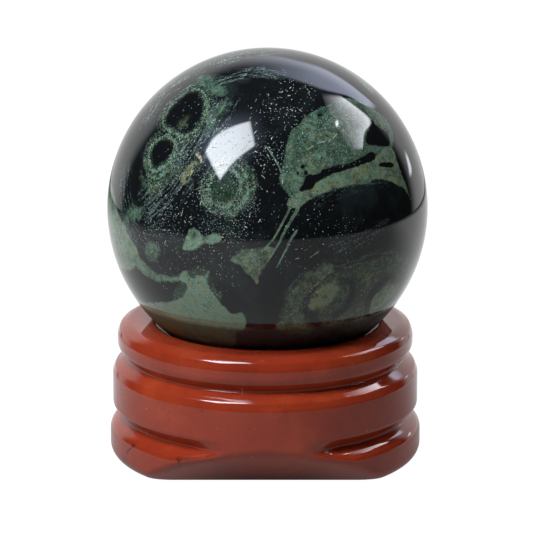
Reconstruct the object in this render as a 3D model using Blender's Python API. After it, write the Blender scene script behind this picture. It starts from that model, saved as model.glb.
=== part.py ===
"""A polished kambaba jasper ball resting in a turned red jasper stand.

Metres, +Z up. The origin is under the ball's centre, on the surface that the stand stands on.
The middle of one of the stand's two ground hollows faces -Y, and the other faces +Y. The stand
is turned from one outline, and its seat is ground to the ball's own curve. The lower groove
runs out towards the front and the back, where two slanting cuts take the foot away and leave a
broad foot on the left and on the right.
"""
import math

import bmesh
import bpy
from mathutils import Matrix, Vector

MM = 0.001

# The ball, and the hair's width that parts it from its seat.
BALL_RADIUS = 25.0 * MM
BALL_CENTRE_HEIGHT = 39.7 * MM
SEAT_CLEARANCE = 0.3 * MM
BALL_SEGMENTS = 56
BALL_RINGS = 28

# The stand's own axis lies a little to the left of the ball's.
STAND_AXIS_X = -0.36 * MM
STAND_SEGMENTS = 72

# The corners of the stand's turned section, before polishing rounds them.
RING_RADIUS = 23.2 * MM
RING_TOP = 21.8 * MM
RING_UNDERSIDE = 17.85 * MM
UPPER_GROOVE_RADIUS = 21.75 * MM
UPPER_GROOVE_HEIGHT = 16.2 * MM
BAND_RADIUS = 24.0 * MM
BAND_TOP = 14.5 * MM
BAND_UNDERSIDE = 8.6 * MM
LOWER_GROOVE_RADIUS = 22.3 * MM
LOWER_GROOVE_HEIGHT = 6.8 * MM
FOOT_RADIUS = 24.45 * MM
FOOT_TOP = 5.45 * MM

# The radius that polishing gives each corner.
SEAT_EDGE_ROUNDING = 0.9 * MM
RING_TOP_ROUNDING = 2.6 * MM
RING_UNDERSIDE_ROUNDING = 2.3 * MM
GROOVE_ROUNDING = 0.3 * MM
BAND_TOP_ROUNDING = 1.9 * MM
BAND_UNDERSIDE_ROUNDING = 1.1 * MM
FOOT_TOP_ROUNDING = 2.2 * MM
FOOT_UNDERSIDE_ROUNDING = 2.2 * MM

# The lower groove and the foot's shoulder run out into the band's own face before they reach
# the middle of the front and of the back: fully gone at one angle, whole again at the other.
RUN_OUT_GONE = math.radians(12.0)
RUN_OUT_WHOLE = math.radians(33.0)

# Each ground hollow is a slanting cut: how far from the axis it meets the table, how much
# further out it lies for each unit of height, and how softly it runs into the turned face.
HOLLOW_DEPTH = 15.0 * MM
HOLLOW_SLOPE = 1.36
HOLLOW_SOFTNESS = 1.6 * MM

# How finely the outline is divided.
ARC_STEP = math.radians(23.0)
SEAT_STEP = 3.2 * MM
FACE_STEP = 1.9 * MM
MERGE_DISTANCE = 0.001 * MM
SMOOTH_ANGLE = math.radians(40.0)

BALL_COLOUR = (0.020, 0.034, 0.025, 1.0)
BALL_ROUGHNESS = 0.10
STAND_COLOUR = (0.262, 0.034, 0.014, 1.0)
STAND_ROUGHNESS = 0.22
STONE_METALLIC = 0.0


def clear_scene():
    """Remove whatever objects the file starts with."""
    for thing in list(bpy.data.objects):
        bpy.data.objects.remove(thing, do_unlink=True)


def make_material(name, colour, roughness):
    """A polished stone of one plain colour."""
    material = bpy.data.materials.new(name)
    material.use_nodes = True
    shader = material.node_tree.nodes["Principled BSDF"]
    shader.inputs["Base Color"].default_value = colour
    shader.inputs["Roughness"].default_value = roughness
    shader.inputs["Metallic"].default_value = STONE_METALLIC
    return material


def make_object(name, body, material):
    """Make a named object of a bmesh, shaded smooth but for its true edges."""
    bmesh.ops.recalc_face_normals(body, faces=body.faces)
    mesh = bpy.data.meshes.new(name)
    body.to_mesh(mesh)
    body.free()
    mesh.materials.append(material)
    mesh.shade_smooth()
    mesh.set_sharp_from_angle(angle=SMOOTH_ANGLE)
    thing = bpy.data.objects.new(name, mesh)
    bpy.context.scene.collection.objects.link(thing)
    return thing


def rounded_corner(before, corner, after, radius):
    """Points of the arc that replaces a corner of the outline, tangent to both its faces."""
    to_before = (before - corner).normalized()
    to_after = (after - corner).normalized()
    half_opening = to_before.angle(to_after) / 2
    reach = radius / math.tan(half_opening)
    centre = corner + (to_before + to_after).normalized() * (radius / math.sin(half_opening))
    start = corner + to_before * reach - centre
    end = corner + to_after * reach - centre
    turn = math.atan2(start.cross(end), start.dot(end))
    steps = max(2, math.ceil(abs(turn) / ARC_STEP))
    return [centre + Matrix.Rotation(turn * step / steps, 2) @ start for step in range(steps + 1)]


def subdivided(points, step):
    """The same polyline with no stretch longer than step."""
    finer = [points[0]]
    for start, end in zip(points, points[1:]):
        parts = max(1, math.ceil((end - start).length / step))
        finer += [start.lerp(end, part / parts) for part in range(1, parts + 1)]
    return finer


def seat_point(angle):
    """A point of the seat's section, by its angle from straight below the ball's centre."""
    seat_radius = BALL_RADIUS + SEAT_CLEARANCE
    height = BALL_CENTRE_HEIGHT - seat_radius * math.cos(angle)
    return Vector((seat_radius * math.sin(angle), height))


def seat_edge_angle():
    """The angle at which the ball-shaped seat reaches the ring's top face."""
    return math.acos((BALL_CENTRE_HEIGHT - RING_TOP) / (BALL_RADIUS + SEAT_CLEARANCE))


def turned_outline():
    """The stand's whole section, from the seat's middle over the ring and down to the base."""
    edge_angle = seat_edge_angle()
    steps = math.ceil(edge_angle * BALL_RADIUS / SEAT_STEP)
    seat = [seat_point(edge_angle * step / steps) for step in range(steps)]
    corners = (
        (*seat_point(edge_angle), SEAT_EDGE_ROUNDING),
        (RING_RADIUS, RING_TOP, RING_TOP_ROUNDING),
        (RING_RADIUS, RING_UNDERSIDE, RING_UNDERSIDE_ROUNDING),
        (UPPER_GROOVE_RADIUS, UPPER_GROOVE_HEIGHT, GROOVE_ROUNDING),
        (BAND_RADIUS, BAND_TOP, BAND_TOP_ROUNDING),
        (BAND_RADIUS, BAND_UNDERSIDE, BAND_UNDERSIDE_ROUNDING),
        (LOWER_GROOVE_RADIUS, LOWER_GROOVE_HEIGHT, GROOVE_ROUNDING),
        (FOOT_RADIUS, FOOT_TOP, FOOT_TOP_ROUNDING),
        (FOOT_RADIUS, 0.0, FOOT_UNDERSIDE_ROUNDING),
    )
    base_middle = Vector((0.0, 0.0))
    stops = [seat[-1]] + [Vector(corner[:2]) for corner in corners] + [base_middle]
    outside = []
    for index, corner in enumerate(corners, start=1):
        outside += rounded_corner(stops[index - 1], stops[index], stops[index + 1], corner[2])
    return seat + subdivided(outside, FACE_STEP) + [base_middle]


def soft_minimum(first, second, softness):
    """The smaller of two lengths, rounded off where they come within softness."""
    share = min(max(0.5 + 0.5 * (second - first) / softness, 0.0), 1.0)
    return second + (first - second) * share - softness * share * (1.0 - share)


def run_out_share(angle):
    """How far the lower groove has run out, at an angle from the front's or back's middle."""
    share = min(max((RUN_OUT_WHOLE - angle) / (RUN_OUT_WHOLE - RUN_OUT_GONE), 0.0), 1.0)
    return share * share * (3.0 - 2.0 * share)


def grind_foot(body):
    """Let the lower groove run out into the band's face, then push the foot's skin in to the
    two slanting cuts, front and back."""
    for vertex in body.verts:
        height = vertex.co.z
        radius = math.hypot(vertex.co.x, vertex.co.y)
        if radius < MERGE_DISTANCE or height > BAND_UNDERSIDE + BAND_UNDERSIDE_ROUNDING:
            continue
        facing = max(abs(vertex.co.y) / radius, MERGE_DISTANCE)
        if height > MERGE_DISTANCE:
            target = radius + (BAND_RADIUS - radius) * run_out_share(math.acos(min(facing, 1.0)))
        else:
            target = radius
        cut = (HOLLOW_DEPTH + HOLLOW_SLOPE * height) / facing
        shrink = soft_minimum(target, cut, HOLLOW_SOFTNESS) / radius
        vertex.co.x *= shrink
        vertex.co.y *= shrink


def seat_share(vertex):
    """How far a vertex belongs to the seat: 1 inside the seat's edge, 0 on the turned outside."""
    if vertex.co.z < BALL_CENTRE_HEIGHT - BALL_RADIUS - 2 * SEAT_CLEARANCE:
        return 0.0
    radius = math.hypot(vertex.co.x, vertex.co.y)
    outside = RING_RADIUS - RING_TOP_ROUNDING
    inside = seat_point(seat_edge_angle()).x + SEAT_EDGE_ROUNDING / 2
    share = (outside - radius) / (outside - inside)
    return min(max(share, 0.0), 1.0)


def make_stand():
    """Turn the outline about the stand's axis, grind the foot, and move the seat under the
    ball."""
    body = bmesh.new()
    outline = [body.verts.new((point.x, 0.0, point.y)) for point in turned_outline()]
    edges = [body.edges.new(pair) for pair in zip(outline, outline[1:])]
    bmesh.ops.spin(body, geom=outline + edges, axis=(0.0, 0.0, 1.0), cent=(0.0, 0.0, 0.0),
                   angle=2 * math.pi, steps=STAND_SEGMENTS, use_merge=True)
    bmesh.ops.remove_doubles(body, verts=body.verts, dist=MERGE_DISTANCE)
    grind_foot(body)
    for vertex in body.verts:
        vertex.co.x += STAND_AXIS_X * (1.0 - seat_share(vertex))
    bmesh.ops.triangulate(body, faces=body.faces, quad_method="SHORT_EDGE")
    return make_object("stand", body, make_material("red_jasper", STAND_COLOUR, STAND_ROUGHNESS))


def make_ball():
    """The ball, at rest in the seat."""
    body = bmesh.new()
    bmesh.ops.create_uvsphere(body, u_segments=BALL_SEGMENTS, v_segments=BALL_RINGS,
                              radius=BALL_RADIUS)
    ball = make_object("ball", body, make_material("kambaba", BALL_COLOUR, BALL_ROUGHNESS))
    ball.location.z = BALL_CENTRE_HEIGHT
    return ball


clear_scene()
make_stand()
make_ball()
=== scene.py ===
"""The looks of a polished kambaba jasper ball on its turned red jasper stand.

The ball is near black, with green patches, ringed eyes, swirled bands, veins and pale flecks. The
markings that the photograph shows are laid out by their places in its 533 by 533 frame and put
onto the ball along the camera's own rays. The hidden side carries more of the same kinds.
"""
from collections import namedtuple

import bpy
import numpy as np
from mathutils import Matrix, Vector


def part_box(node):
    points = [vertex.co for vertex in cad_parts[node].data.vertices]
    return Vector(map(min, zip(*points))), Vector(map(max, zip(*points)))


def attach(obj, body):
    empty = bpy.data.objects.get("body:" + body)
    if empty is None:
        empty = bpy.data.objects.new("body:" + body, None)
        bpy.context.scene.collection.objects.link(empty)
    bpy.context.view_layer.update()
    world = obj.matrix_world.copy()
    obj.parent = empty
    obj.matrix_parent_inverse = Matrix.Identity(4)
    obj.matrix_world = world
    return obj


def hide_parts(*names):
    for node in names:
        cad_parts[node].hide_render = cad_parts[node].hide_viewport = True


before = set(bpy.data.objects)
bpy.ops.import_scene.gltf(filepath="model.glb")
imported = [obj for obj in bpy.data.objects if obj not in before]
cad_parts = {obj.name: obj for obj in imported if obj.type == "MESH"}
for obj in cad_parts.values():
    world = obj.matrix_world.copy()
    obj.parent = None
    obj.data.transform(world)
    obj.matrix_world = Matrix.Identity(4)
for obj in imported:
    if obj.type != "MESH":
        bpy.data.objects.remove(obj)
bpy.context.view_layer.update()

MM = 0.001
ball_low, ball_high = (np.array(corner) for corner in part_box("ball"))
BALL_CENTRE = (ball_low + ball_high) / 2
BALL_RADIUS = (ball_high[0] - ball_low[0]) / 2
BALL_MM = BALL_RADIUS / MM

# The photograph's frame and the ball's outline in it, in pixels.
PHOTO_SIZE = 533
PHOTO_BALL_X = 267.5
PHOTO_BALL_Y = 207.9
PHOTO_BALL_RADIUS = 160.3
PIXEL_MM = BALL_MM / PHOTO_BALL_RADIUS

# The camera stands this far from the ball's centre and this far above level.
CAMERA_DISTANCE = 600 * MM
CAMERA_ELEVATION = np.radians(13.93)
CAMERA_CLIP = (60 * MM, 6.0)
SENSOR_WIDTH = 36.0
REACH = CAMERA_DISTANCE / BALL_RADIUS
FOCAL_PIXELS = PHOTO_BALL_RADIUS * np.sqrt(REACH ** 2 - 1)
FORWARD = np.array((0.0, np.cos(CAMERA_ELEVATION), -np.sin(CAMERA_ELEVATION)))
RIGHT = np.array((1.0, 0.0, 0.0))
UP = np.cross(RIGHT, FORWARD)
CAMERA_PLACE = BALL_CENTRE - FORWARD * CAMERA_DISTANCE

# Near the ball's outline and past it, a place of the photograph goes on round the limb evenly.
LIMB_SHARE = 0.97
LIMB_TURN = np.radians(400.0)

SEED = 11
TINY = 1e-9


# Where things are on the ball

def seen_direction(points):
    """Unit directions from the ball's centre to the points of its skin that show at places of
    the photograph. A ray at angle a from the ball's centre meets the skin at asin(reach sin a)
    minus a from the direction to the camera, where reach is the camera's distance in radii."""
    places = np.atleast_2d(np.asarray(points, float))
    right = (places[:, 0] - PHOTO_BALL_X) / PHOTO_BALL_RADIUS
    up = (PHOTO_BALL_Y - places[:, 1]) / PHOTO_BALL_RADIUS
    out = np.maximum(np.hypot(right, up), TINY)
    ray = np.arctan(np.minimum(out, LIMB_SHARE) / np.sqrt(REACH ** 2 - 1))
    turn = np.arcsin(REACH * np.sin(ray)) - ray + np.maximum(out - LIMB_SHARE, 0.0) * LIMB_TURN
    across = np.sin(turn) / out
    return (RIGHT * (right * across)[:, None] + UP * (up * across)[:, None]
            - FORWARD * np.cos(turn)[:, None])


def compass_direction(azimuth, elevation):
    """The unit direction at an azimuth from the front, positive to the right, and an elevation,
    both in degrees."""
    azimuth, elevation = np.radians(azimuth), np.radians(elevation)
    return np.array((np.sin(azimuth) * np.cos(elevation), -np.cos(azimuth) * np.cos(elevation),
                     np.sin(elevation)))


def chart(directions, centre):
    """Flat places in mm of directions on the ball, round a centre: the distance from the centre
    is the arc along the skin, and the bearing is kept. Level is the first axis."""
    level = np.cross((0.0, 0.0, 1.0), centre)
    level = level / max(np.linalg.norm(level), TINY)
    flat = np.stack((directions @ level, directions @ np.cross(centre, level)), axis=1)
    sine = np.maximum(np.linalg.norm(flat, axis=1), TINY)
    arc = np.arctan2(sine, directions @ centre) * BALL_MM
    return flat * (arc / sine)[:, None]


def rounded_curve(points, closed, steps=5):
    """A smooth curve through points: between two of them it is the cubic whose slope at each
    end is half the step between that point's neighbours."""
    points = np.asarray(points, float)
    if closed:
        before, start = np.roll(points, 1, 0), points
        end, after = np.roll(points, -1, 0), np.roll(points, -2, 0)
    else:
        padded = np.concatenate((points[:1], points, points[-1:]))
        before, start, end, after = padded[:-3], padded[1:-2], padded[2:-1], padded[3:]
    share = (np.arange(steps) / steps)[None, :, None]
    before, start, end, after = (part[:, None, :] for part in (before, start, end, after))
    curve = 0.5 * (2 * start + (end - before) * share
                   + (2 * before - 5 * start + 4 * end - after) * share ** 2
                   + (3 * start - before - 3 * end + after) * share ** 3)
    curve = curve.reshape(-1, points.shape[1])
    return curve if closed else np.concatenate((curve, points[-1:]))


def beside_stretches(places, starts, ends):
    """The distance of each place from each stretch, how far along the stretch its nearest point
    lies, and the side of the stretch that the place is on."""
    stretch = ends - starts
    offset = places[:, None, :] - starts
    share = np.clip((offset * stretch).sum(2) / np.maximum((stretch ** 2).sum(1), TINY), 0.0, 1.0)
    gap = offset - share[..., None] * stretch
    side = np.sign(stretch[:, 0] * offset[..., 1] - stretch[:, 1] * offset[..., 0])
    return np.hypot(gap[..., 0], gap[..., 1]), share, side


def depth_inside(places, outline):
    """How deep each place lies inside a closed outline, and below zero outside it. A place is
    inside if a level line from it crosses the outline an odd number of times."""
    starts, ends = outline, np.roll(outline, -1, 0)
    gap, _, _ = beside_stretches(places, starts, ends)
    level = places[:, None, 1]
    spans = (starts[:, 1] > level) != (ends[:, 1] > level)
    rise = ends[:, 1] - starts[:, 1]
    rise = np.where(np.abs(rise) < TINY, TINY, rise)
    meets = starts[:, 0] + (level - starts[:, 1]) / rise * (ends[:, 0] - starts[:, 0])
    odd = (spans & (places[:, None, 0] < meets)).sum(1) % 2 == 1
    return gap.min(1) * np.where(odd, 1.0, -1.0)


def along_curve(places, curve):
    """For each place its signed distance from an open curve, its plain distance, and how far
    along the curve, by length and as a share, the nearest point lies."""
    starts, ends = curve[:-1], curve[1:]
    gap, share, side = beside_stretches(places, starts, ends)
    lengths = np.hypot(*(ends - starts).T)
    before = np.cumsum(lengths) - lengths
    rows, nearest = np.arange(len(places)), gap.argmin(1)
    reach = gap[rows, nearest]
    along = before[nearest] + share[rows, nearest] * lengths[nearest]
    return reach * side[rows, nearest], reach, along, along / lengths.sum()


# A shape on the ball: its middle, and its curve in mm on the chart round that middle.
Shape = namedtuple("Shape", "centre curve")
SHAPE_MARGIN = 3.0


def skin_shape(directions, closed):
    """The shape with a smooth outline, or run, through directions on the ball."""
    centre = directions.mean(0) / np.linalg.norm(directions.mean(0))
    return Shape(centre, rounded_curve(chart(directions, centre), closed))


def seen_shape(points, closed=True):
    """The shape whose smooth outline shows at these places of the photograph."""
    return skin_shape(seen_direction(points), closed)


def near_shape(directions, shape):
    """Which directions lie near a shape, and their places on its chart."""
    reach = np.linalg.norm(shape.curve, axis=1).max() + SHAPE_MARGIN
    near = directions @ shape.centre > np.cos(min(reach / BALL_MM, np.pi))
    return near, chart(directions[near], shape.centre)


def depth_field(directions, shapes, softness):
    """The greatest depth, in mm over its softness, inside any of the shapes, and which of them
    gives it."""
    depth = np.full(len(directions), -SHAPE_MARGIN)
    owner = np.zeros(len(directions), int)
    for number, shape in enumerate(shapes):
        near, places = near_shape(directions, shape)
        found = depth_inside(places, shape.curve) / softness[number]
        deeper = found > depth[near]
        depth[near] = np.where(deeper, found, depth[near])
        owner[near] = np.where(deeper, number, owner[near])
    return depth, owner


def smooth_share(value, low, high):
    """0 up to low, 1 from high, and a smooth rise between them."""
    share = np.clip((value - low) / (high - low), 0.0, 1.0)
    return share * share * (3.0 - 2.0 * share)


# The markings that the photograph shows, by their places in its frame

# A green patch: how pale and how olive it is, how soft its edge is, and its outline.
Patch = namedtuple("Patch", "pale olive soft outline")
SEEN_PATCHES = {
    "shell": Patch(0.18, 0.15, 0.45, (
        (284, 160), (285, 150), (288, 142), (293, 129), (300, 124), (306, 116), (315, 111),
        (330, 104), (345, 98), (360, 102), (373, 109), (385, 118), (392, 131), (392, 146),
        (380, 152), (366, 156), (352, 162), (333, 166), (318, 174), (307, 180), (301, 190),
        (293, 199), (287, 193), (282, 186), (280, 178), (282, 170))),
    "band under the shell": Patch(0.56, 0.42, 0.45, (
        (300, 190), (308, 190), (316, 183), (330, 175), (350, 169), (365, 162), (375, 158),
        (382, 149), (390, 147), (394, 152), (398, 164), (403, 178), (410, 192), (411, 200),
        (408, 194), (403, 188), (396, 184), (388, 181), (376, 179), (363, 184), (345, 186),
        (324, 193), (308, 201), (300, 206), (290, 208), (288, 200))),
    "triangle": Patch(0.34, 0.42, 0.55, (
        (231, 260), (240, 251), (250, 249), (262, 248), (270, 246), (274, 250), (268, 262),
        (262, 270), (259, 278), (257, 284), (252, 278), (245, 272), (240, 265), (233, 262))),
    "pale patch": Patch(0.80, 0.02, 0.60, (
        (183, 249), (184, 243), (187, 236), (189, 230), (193, 229), (198, 231), (203, 236),
        (209, 236), (214, 234), (220, 236), (219, 241), (212, 244), (205, 243), (200, 246),
        (195, 249), (188, 250))),
    "small oval": Patch(0.28, 0.20, 1.00, (
        (145, 248), (150, 243), (157, 245), (160, 251), (157, 258), (150, 260), (145, 255))),
    "left rim": Patch(0.60, 0.15, 0.80, (
        (101, 176), (109, 178), (113, 189), (116, 203), (120, 217), (126, 229), (132, 241),
        (139, 257), (134, 268), (124, 269), (108, 256), (99, 232), (97, 200))),
    "left thin band": Patch(0.50, 0.12, 0.80, (
        (127, 244), (133, 247), (140, 258), (150, 268), (160, 275), (172, 276), (183, 277),
        (180, 281), (165, 282), (150, 278), (137, 268), (128, 256))),
    "lower left": Patch(0.94, 0.10, 0.60, (
        (136, 301), (148, 303), (160, 302), (172, 301), (179, 296), (183, 290), (185, 284),
        (179, 280), (179, 275), (186, 271), (191, 276), (198, 273), (204, 275), (209, 271),
        (208, 280), (211, 287), (215, 293), (220, 302), (227, 309), (231, 314), (240, 313),
        (245, 316), (246, 324), (243, 330), (236, 333), (234, 345), (220, 358), (190, 356),
        (160, 340), (140, 320))),
    "lower left fringe": Patch(-0.15, 0.40, 1.60, (
        (175, 301), (176, 292), (180, 285), (190, 272), (204, 270), (211, 282), (220, 298),
        (212, 310), (190, 306))),
    "lower right haze": Patch(0.00, 0.50, 2.00, (
        (322, 322), (318, 292), (322, 276), (345, 270), (370, 262), (390, 256), (405, 256),
        (414, 270), (404, 296), (392, 316), (350, 330))),
    "lower right outer arc": Patch(0.22, 0.50, 1.50, (
        (281, 332), (281, 318), (285, 303), (291, 291), (300, 280), (312, 271), (328, 265),
        (334, 270), (322, 279), (311, 288), (304, 299), (302, 311), (306, 322), (312, 332))),
    "crack's bed": Patch(0.42, 1.00, 0.60, (
        (181, 182), (183, 172), (189, 165), (195, 160), (199, 163), (194, 170), (190, 178),
        (185, 184))),
    "over the first eye": Patch(0.20, 0.02, 2.40, (
        (196, 80), (206, 76), (218, 82), (228, 92), (218, 95), (206, 91), (199, 87))),
    "first eye's ring": Patch(-0.16, 0.35, 1.10, (
        (196, 87), (204, 90), (209, 97), (210, 108), (207, 119), (200, 130), (190, 138),
        (180, 144), (178, 139), (188, 133), (197, 125), (203, 115), (204, 105), (202, 97),
        (195, 92))),
    "second eye's ring": Patch(0.24, 0.12, 1.00, (
        (144, 156), (145, 168), (149, 176), (156, 179), (164, 176), (171, 169), (176, 161),
        (179, 151), (175, 148), (173, 154), (167, 161), (161, 167), (155, 170), (150, 167),
        (148, 158))),
    "second eye's tail": Patch(0.05, 0.45, 1.40, (
        (141, 172), (146, 181), (152, 184), (159, 182), (170, 175), (178, 165), (182, 166),
        (174, 177), (164, 186), (155, 193), (148, 192), (143, 183))),
    "third eye's ring": Patch(0.22, 0.25, 1.20, (
        (202, 189), (203, 200), (209, 209), (218, 214), (228, 216), (238, 212), (247, 205),
        (253, 195), (255, 184), (253, 174), (247, 167), (241, 169), (239, 178), (239, 188),
        (235, 197), (228, 203), (220, 205), (212, 201), (208, 193))),
    "pale edge of the swirl": Patch(0.22, -0.05, 2.30, (
        (205, 129), (210, 119), (217, 109), (224, 102), (227, 105), (220, 116), (213, 127),
        (208, 134))),
    "left smudge": Patch(0.30, 0.00, 2.20, (
        (124, 216), (130, 210), (138, 207), (142, 211), (139, 216), (131, 219), (126, 222))),
}

# The ringed eyes, each as the outlines of its granular ring, of its dark zone and of its core.
SEEN_RINGS = (
    ((158, 125), (160, 115), (165, 106), (180, 92), (193, 84), (206, 87), (213, 98), (212, 112),
     (205, 125), (195, 138), (180, 145), (168, 142)),
    ((146, 168), (145, 150), (151, 138), (163, 132), (175, 135), (181, 146), (178, 158),
     (172, 170), (166, 179), (158, 188), (152, 194), (147, 184)),
    ((205, 172), (215, 160), (232, 157), (246, 162), (255, 178), (255, 196), (246, 207),
     (230, 213), (213, 212), (202, 205), (198, 190)),
)
SEEN_DARKS = (
    ((165, 122), (170, 110), (178, 101), (187, 94), (196, 92), (202, 99), (203, 110), (200, 120),
     (193, 129), (186, 133), (178, 131), (170, 127)),
    ((152, 160), (152, 150), (157, 143), (165, 140), (172, 143), (173, 150), (168, 158),
     (162, 164), (155, 167)),
    ((212, 185), (218, 176), (229, 174), (236, 181), (236, 191), (230, 199), (221, 202),
     (213, 197)),
)
# Clean black gaps in the green.
SEEN_SLITS = (
    ((307, 175), (318, 174), (326, 168), (345, 166), (360, 158), (372, 152), (375, 160),
     (358, 166), (340, 171), (320, 178), (313, 188), (303, 191), (299, 191), (303, 184)),
    ((371, 120), (378, 127), (387, 133), (390, 142), (387, 146), (376, 146), (366, 143),
     (367, 134)),
    ((378, 165), (384, 162), (392, 163), (394, 166), (387, 168)),
    ((186, 179), (189, 172), (193, 166), (196, 163), (194, 168), (190, 175), (187, 181)),
    ((220, 198), (223, 196), (225, 200), (221, 202)),
    ((228, 192), (232, 192), (233, 197), (229, 198)),
    ((224, 184), (227, 182), (230, 186), (226, 188)),
    ((396, 147), (400, 152), (405, 166), (409, 180), (413, 194), (410, 198), (406, 186),
     (400, 168), (395, 154)),
    ((317, 115), (320, 113), (323, 115), (320, 117)),
    ((300, 166), (303, 164), (305, 167), (302, 169)),
    ((304, 172), (307, 171), (308, 174), (305, 175)),
    ((296, 172), (298, 171), (299, 174), (297, 175)),
)
# An eye's core, or a small spot laid over the green: how pale and how olive it is, and its
# outline.
Core = namedtuple("Core", "pale olive outline")
SEEN_CORES = (
    Core(-0.20, 0.80, ((176, 125), (180, 119), (186, 119), (189, 124), (185, 129), (179, 130))),
    Core(-0.22, 0.70, ((184, 117), (187, 114), (190, 116), (189, 120), (185, 120))),
    Core(-0.36, 0.35, ((212, 194), (214, 182), (223, 175), (233, 176), (238, 186), (235, 197),
                       (227, 203), (217, 203))),
    Core(-0.62, 0.60, ((191, 233), (195, 231), (199, 234), (195, 238), (191, 237))),
    Core(-0.55, 0.50, ((202, 235), (206, 234), (208, 238), (205, 241), (202, 239))),
    Core(-0.70, 0.30, ((345, 276), (354, 281), (357, 292), (353, 304), (345, 313), (334, 320),
                       (330, 315), (341, 307), (347, 298), (349, 289), (345, 283), (340, 280))),
    Core(-0.70, 0.30, ((394, 271), (384, 275), (375, 284), (368, 294), (364, 305), (364, 318),
                       (370, 318), (371, 308), (374, 298), (381, 289), (389, 282), (396, 279))),
    Core(0.25, 0.60, ((364, 273), (374, 272), (371, 280), (366, 290), (362, 300), (360, 312),
                      (360, 323), (352, 322), (354, 311), (357, 301), (360, 291), (358, 281))),
    Core(0.95, 0.00, ((317, 156), (320, 154), (323, 156), (320, 159))),
    Core(0.90, 0.00, ((342, 158), (346, 156), (350, 158), (346, 161))),
    Core(0.90, 0.10, ((330, 160), (333, 159), (335, 161), (332, 163))),
    Core(0.85, 0.00, ((303, 147), (306, 145), (308, 148), (305, 150))),
    Core(0.85, 0.10, ((302, 160), (305, 159), (306, 163), (303, 164))),
    Core(1.05, 0.65, ((308, 304), (313, 294), (323, 284), (336, 281), (340, 287), (336, 297),
                      (327, 306), (316, 311), (309, 310))),
    Core(0.88, 0.30, ((368, 312), (370, 301), (377, 293), (387, 286), (397, 284), (397, 290),
                      (390, 299), (380, 308), (372, 314))),
)

# A vein: its half width in mm at both ends, its tone from black at 0 through the patches' green
# at 0.5 to cream at 1, and its run.
Vein = namedtuple("Vein", "start_width end_width tone run")
SEEN_VEINS = (
    Vein(0.10, 0.14, 0.52, ((267, 147), (272, 155), (277, 163), (281, 172), (283, 180))),
    Vein(0.29, 0.12, 0.50, ((302, 200), (296, 212), (290, 222), (284, 233), (279, 243),
                            (273, 253), (267, 262))),
    Vein(0.05, 0.08, 0.85, ((307, 150), (313, 146), (318, 143), (328, 141), (334, 137),
                            (340, 131), (344, 130))),
    Vein(0.06, 0.10, 0.62, ((226, 103), (220, 112), (213, 122), (207, 132))),
    Vein(0.05, 0.08, 0.90, ((196, 164), (191, 170), (188, 175))),
    Vein(0.08, 0.16, 0.72, ((304, 299), (310, 291), (318, 283), (324, 277), (329, 273))),
    Vein(0.05, 0.05, 0.60, ((345, 268), (352, 267), (360, 262))),
    Vein(0.05, 0.05, 0.85, ((311, 257), (315, 254), (319, 251))),
    Vein(0.36, 0.22, 1.00, ((198, 154), (201, 160))),
    Vein(0.10, 0.08, 0.95, ((193, 171), (189, 178))),
    Vein(0.06, 0.08, 0.65, ((150, 117), (158, 105), (168, 95), (180, 88))),
    Vein(0.10, 0.30, 0.00, ((245, 78), (255, 68), (262, 64))),
)
# Green veins that run close beside those above.
SEEN_BRANCHES = (
    Vein(0.16, 0.17, 0.50, ((292, 205), (286, 216), (281, 226), (276, 235), (270, 243),
                            (262, 251))),
    Vein(0.22, 0.10, 0.50, ((296, 232), (290, 241), (286, 250), (281, 259), (277, 267))),
)

# A swirled stretch: its half width in mm, how strongly it shows, and the run that it follows.
Swirl = namedtuple("Swirl", "half_width strength run")
SEEN_SWIRLS = (
    Swirl(4.2, 0.85, ((226, 92), (213, 112), (198, 138), (183, 165), (166, 190), (140, 214))),
    Swirl(3.0, 1.0, ((140, 135), (150, 112), (163, 92), (185, 76), (215, 63), (250, 54),
                     (290, 52))),
    Swirl(2.2, 0.8, ((196, 96), (212, 84), (236, 75), (262, 71), (290, 77))),
    Swirl(3.4, 0.3, ((300, 198), (330, 182), (365, 172), (395, 168), (412, 180))),
    Swirl(3.2, 0.6, ((290, 330), (300, 296), (325, 278), (360, 268), (400, 260))),
    Swirl(1.5, 0.45, ((330, 250), (345, 245), (360, 238), (378, 229), (392, 224))),
    Swirl(3.0, 0.5, ((128, 160), (124, 185), (126, 210), (136, 232), (150, 250))),
)

# A speckled area: its middle, its radius in pixels, and how dense the specks are there.
Speckle = namedtuple("Speckle", "x y radius share")
SEEN_SPECKS = (
    Speckle(222, 200, 36, 0.75), Speckle(215, 225, 26, 0.60), Speckle(180, 165, 34, 0.55),
    Speckle(190, 115, 36, 0.45), Speckle(294, 204, 12, 0.80), Speckle(330, 135, 50, 0.30),
    Speckle(270, 150, 26, 0.35), Speckle(350, 240, 30, 0.22), Speckle(160, 225, 40, 0.40),
    Speckle(235, 230, 22, 0.45), Speckle(200, 285, 16, 0.25), Speckle(206, 310, 26, 0.16),
    Speckle(250, 262, 16, 0.25), Speckle(252, 204, 13, 0.85), Speckle(300, 230, 60, 0.08),
    Speckle(200, 260, 60, 0.14),
)
SEEN_FLECKS = (
    Speckle(280, 108, 36, 0.55), Speckle(262, 160, 34, 0.50), Speckle(300, 90, 26, 0.45),
    Speckle(225, 150, 60, 0.24), Speckle(300, 230, 60, 0.12), Speckle(180, 210, 60, 0.25),
    Speckle(177, 143, 7, 0.90), Speckle(225, 130, 13, 0.90), Speckle(245, 225, 20, 0.45),
    Speckle(190, 250, 60, 0.12), Speckle(167, 215, 9, 0.85), Speckle(188, 221, 8, 0.85),
    Speckle(228, 238, 12, 0.95), Speckle(205, 303, 15, 0.55), Speckle(165, 289, 6, 0.80),
    Speckle(150, 228, 14, 0.45), Speckle(315, 288, 12, 0.35), Speckle(252, 262, 14, 0.35),
)


# The markings of the hidden side, by azimuth from the front and elevation, in degrees

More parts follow.
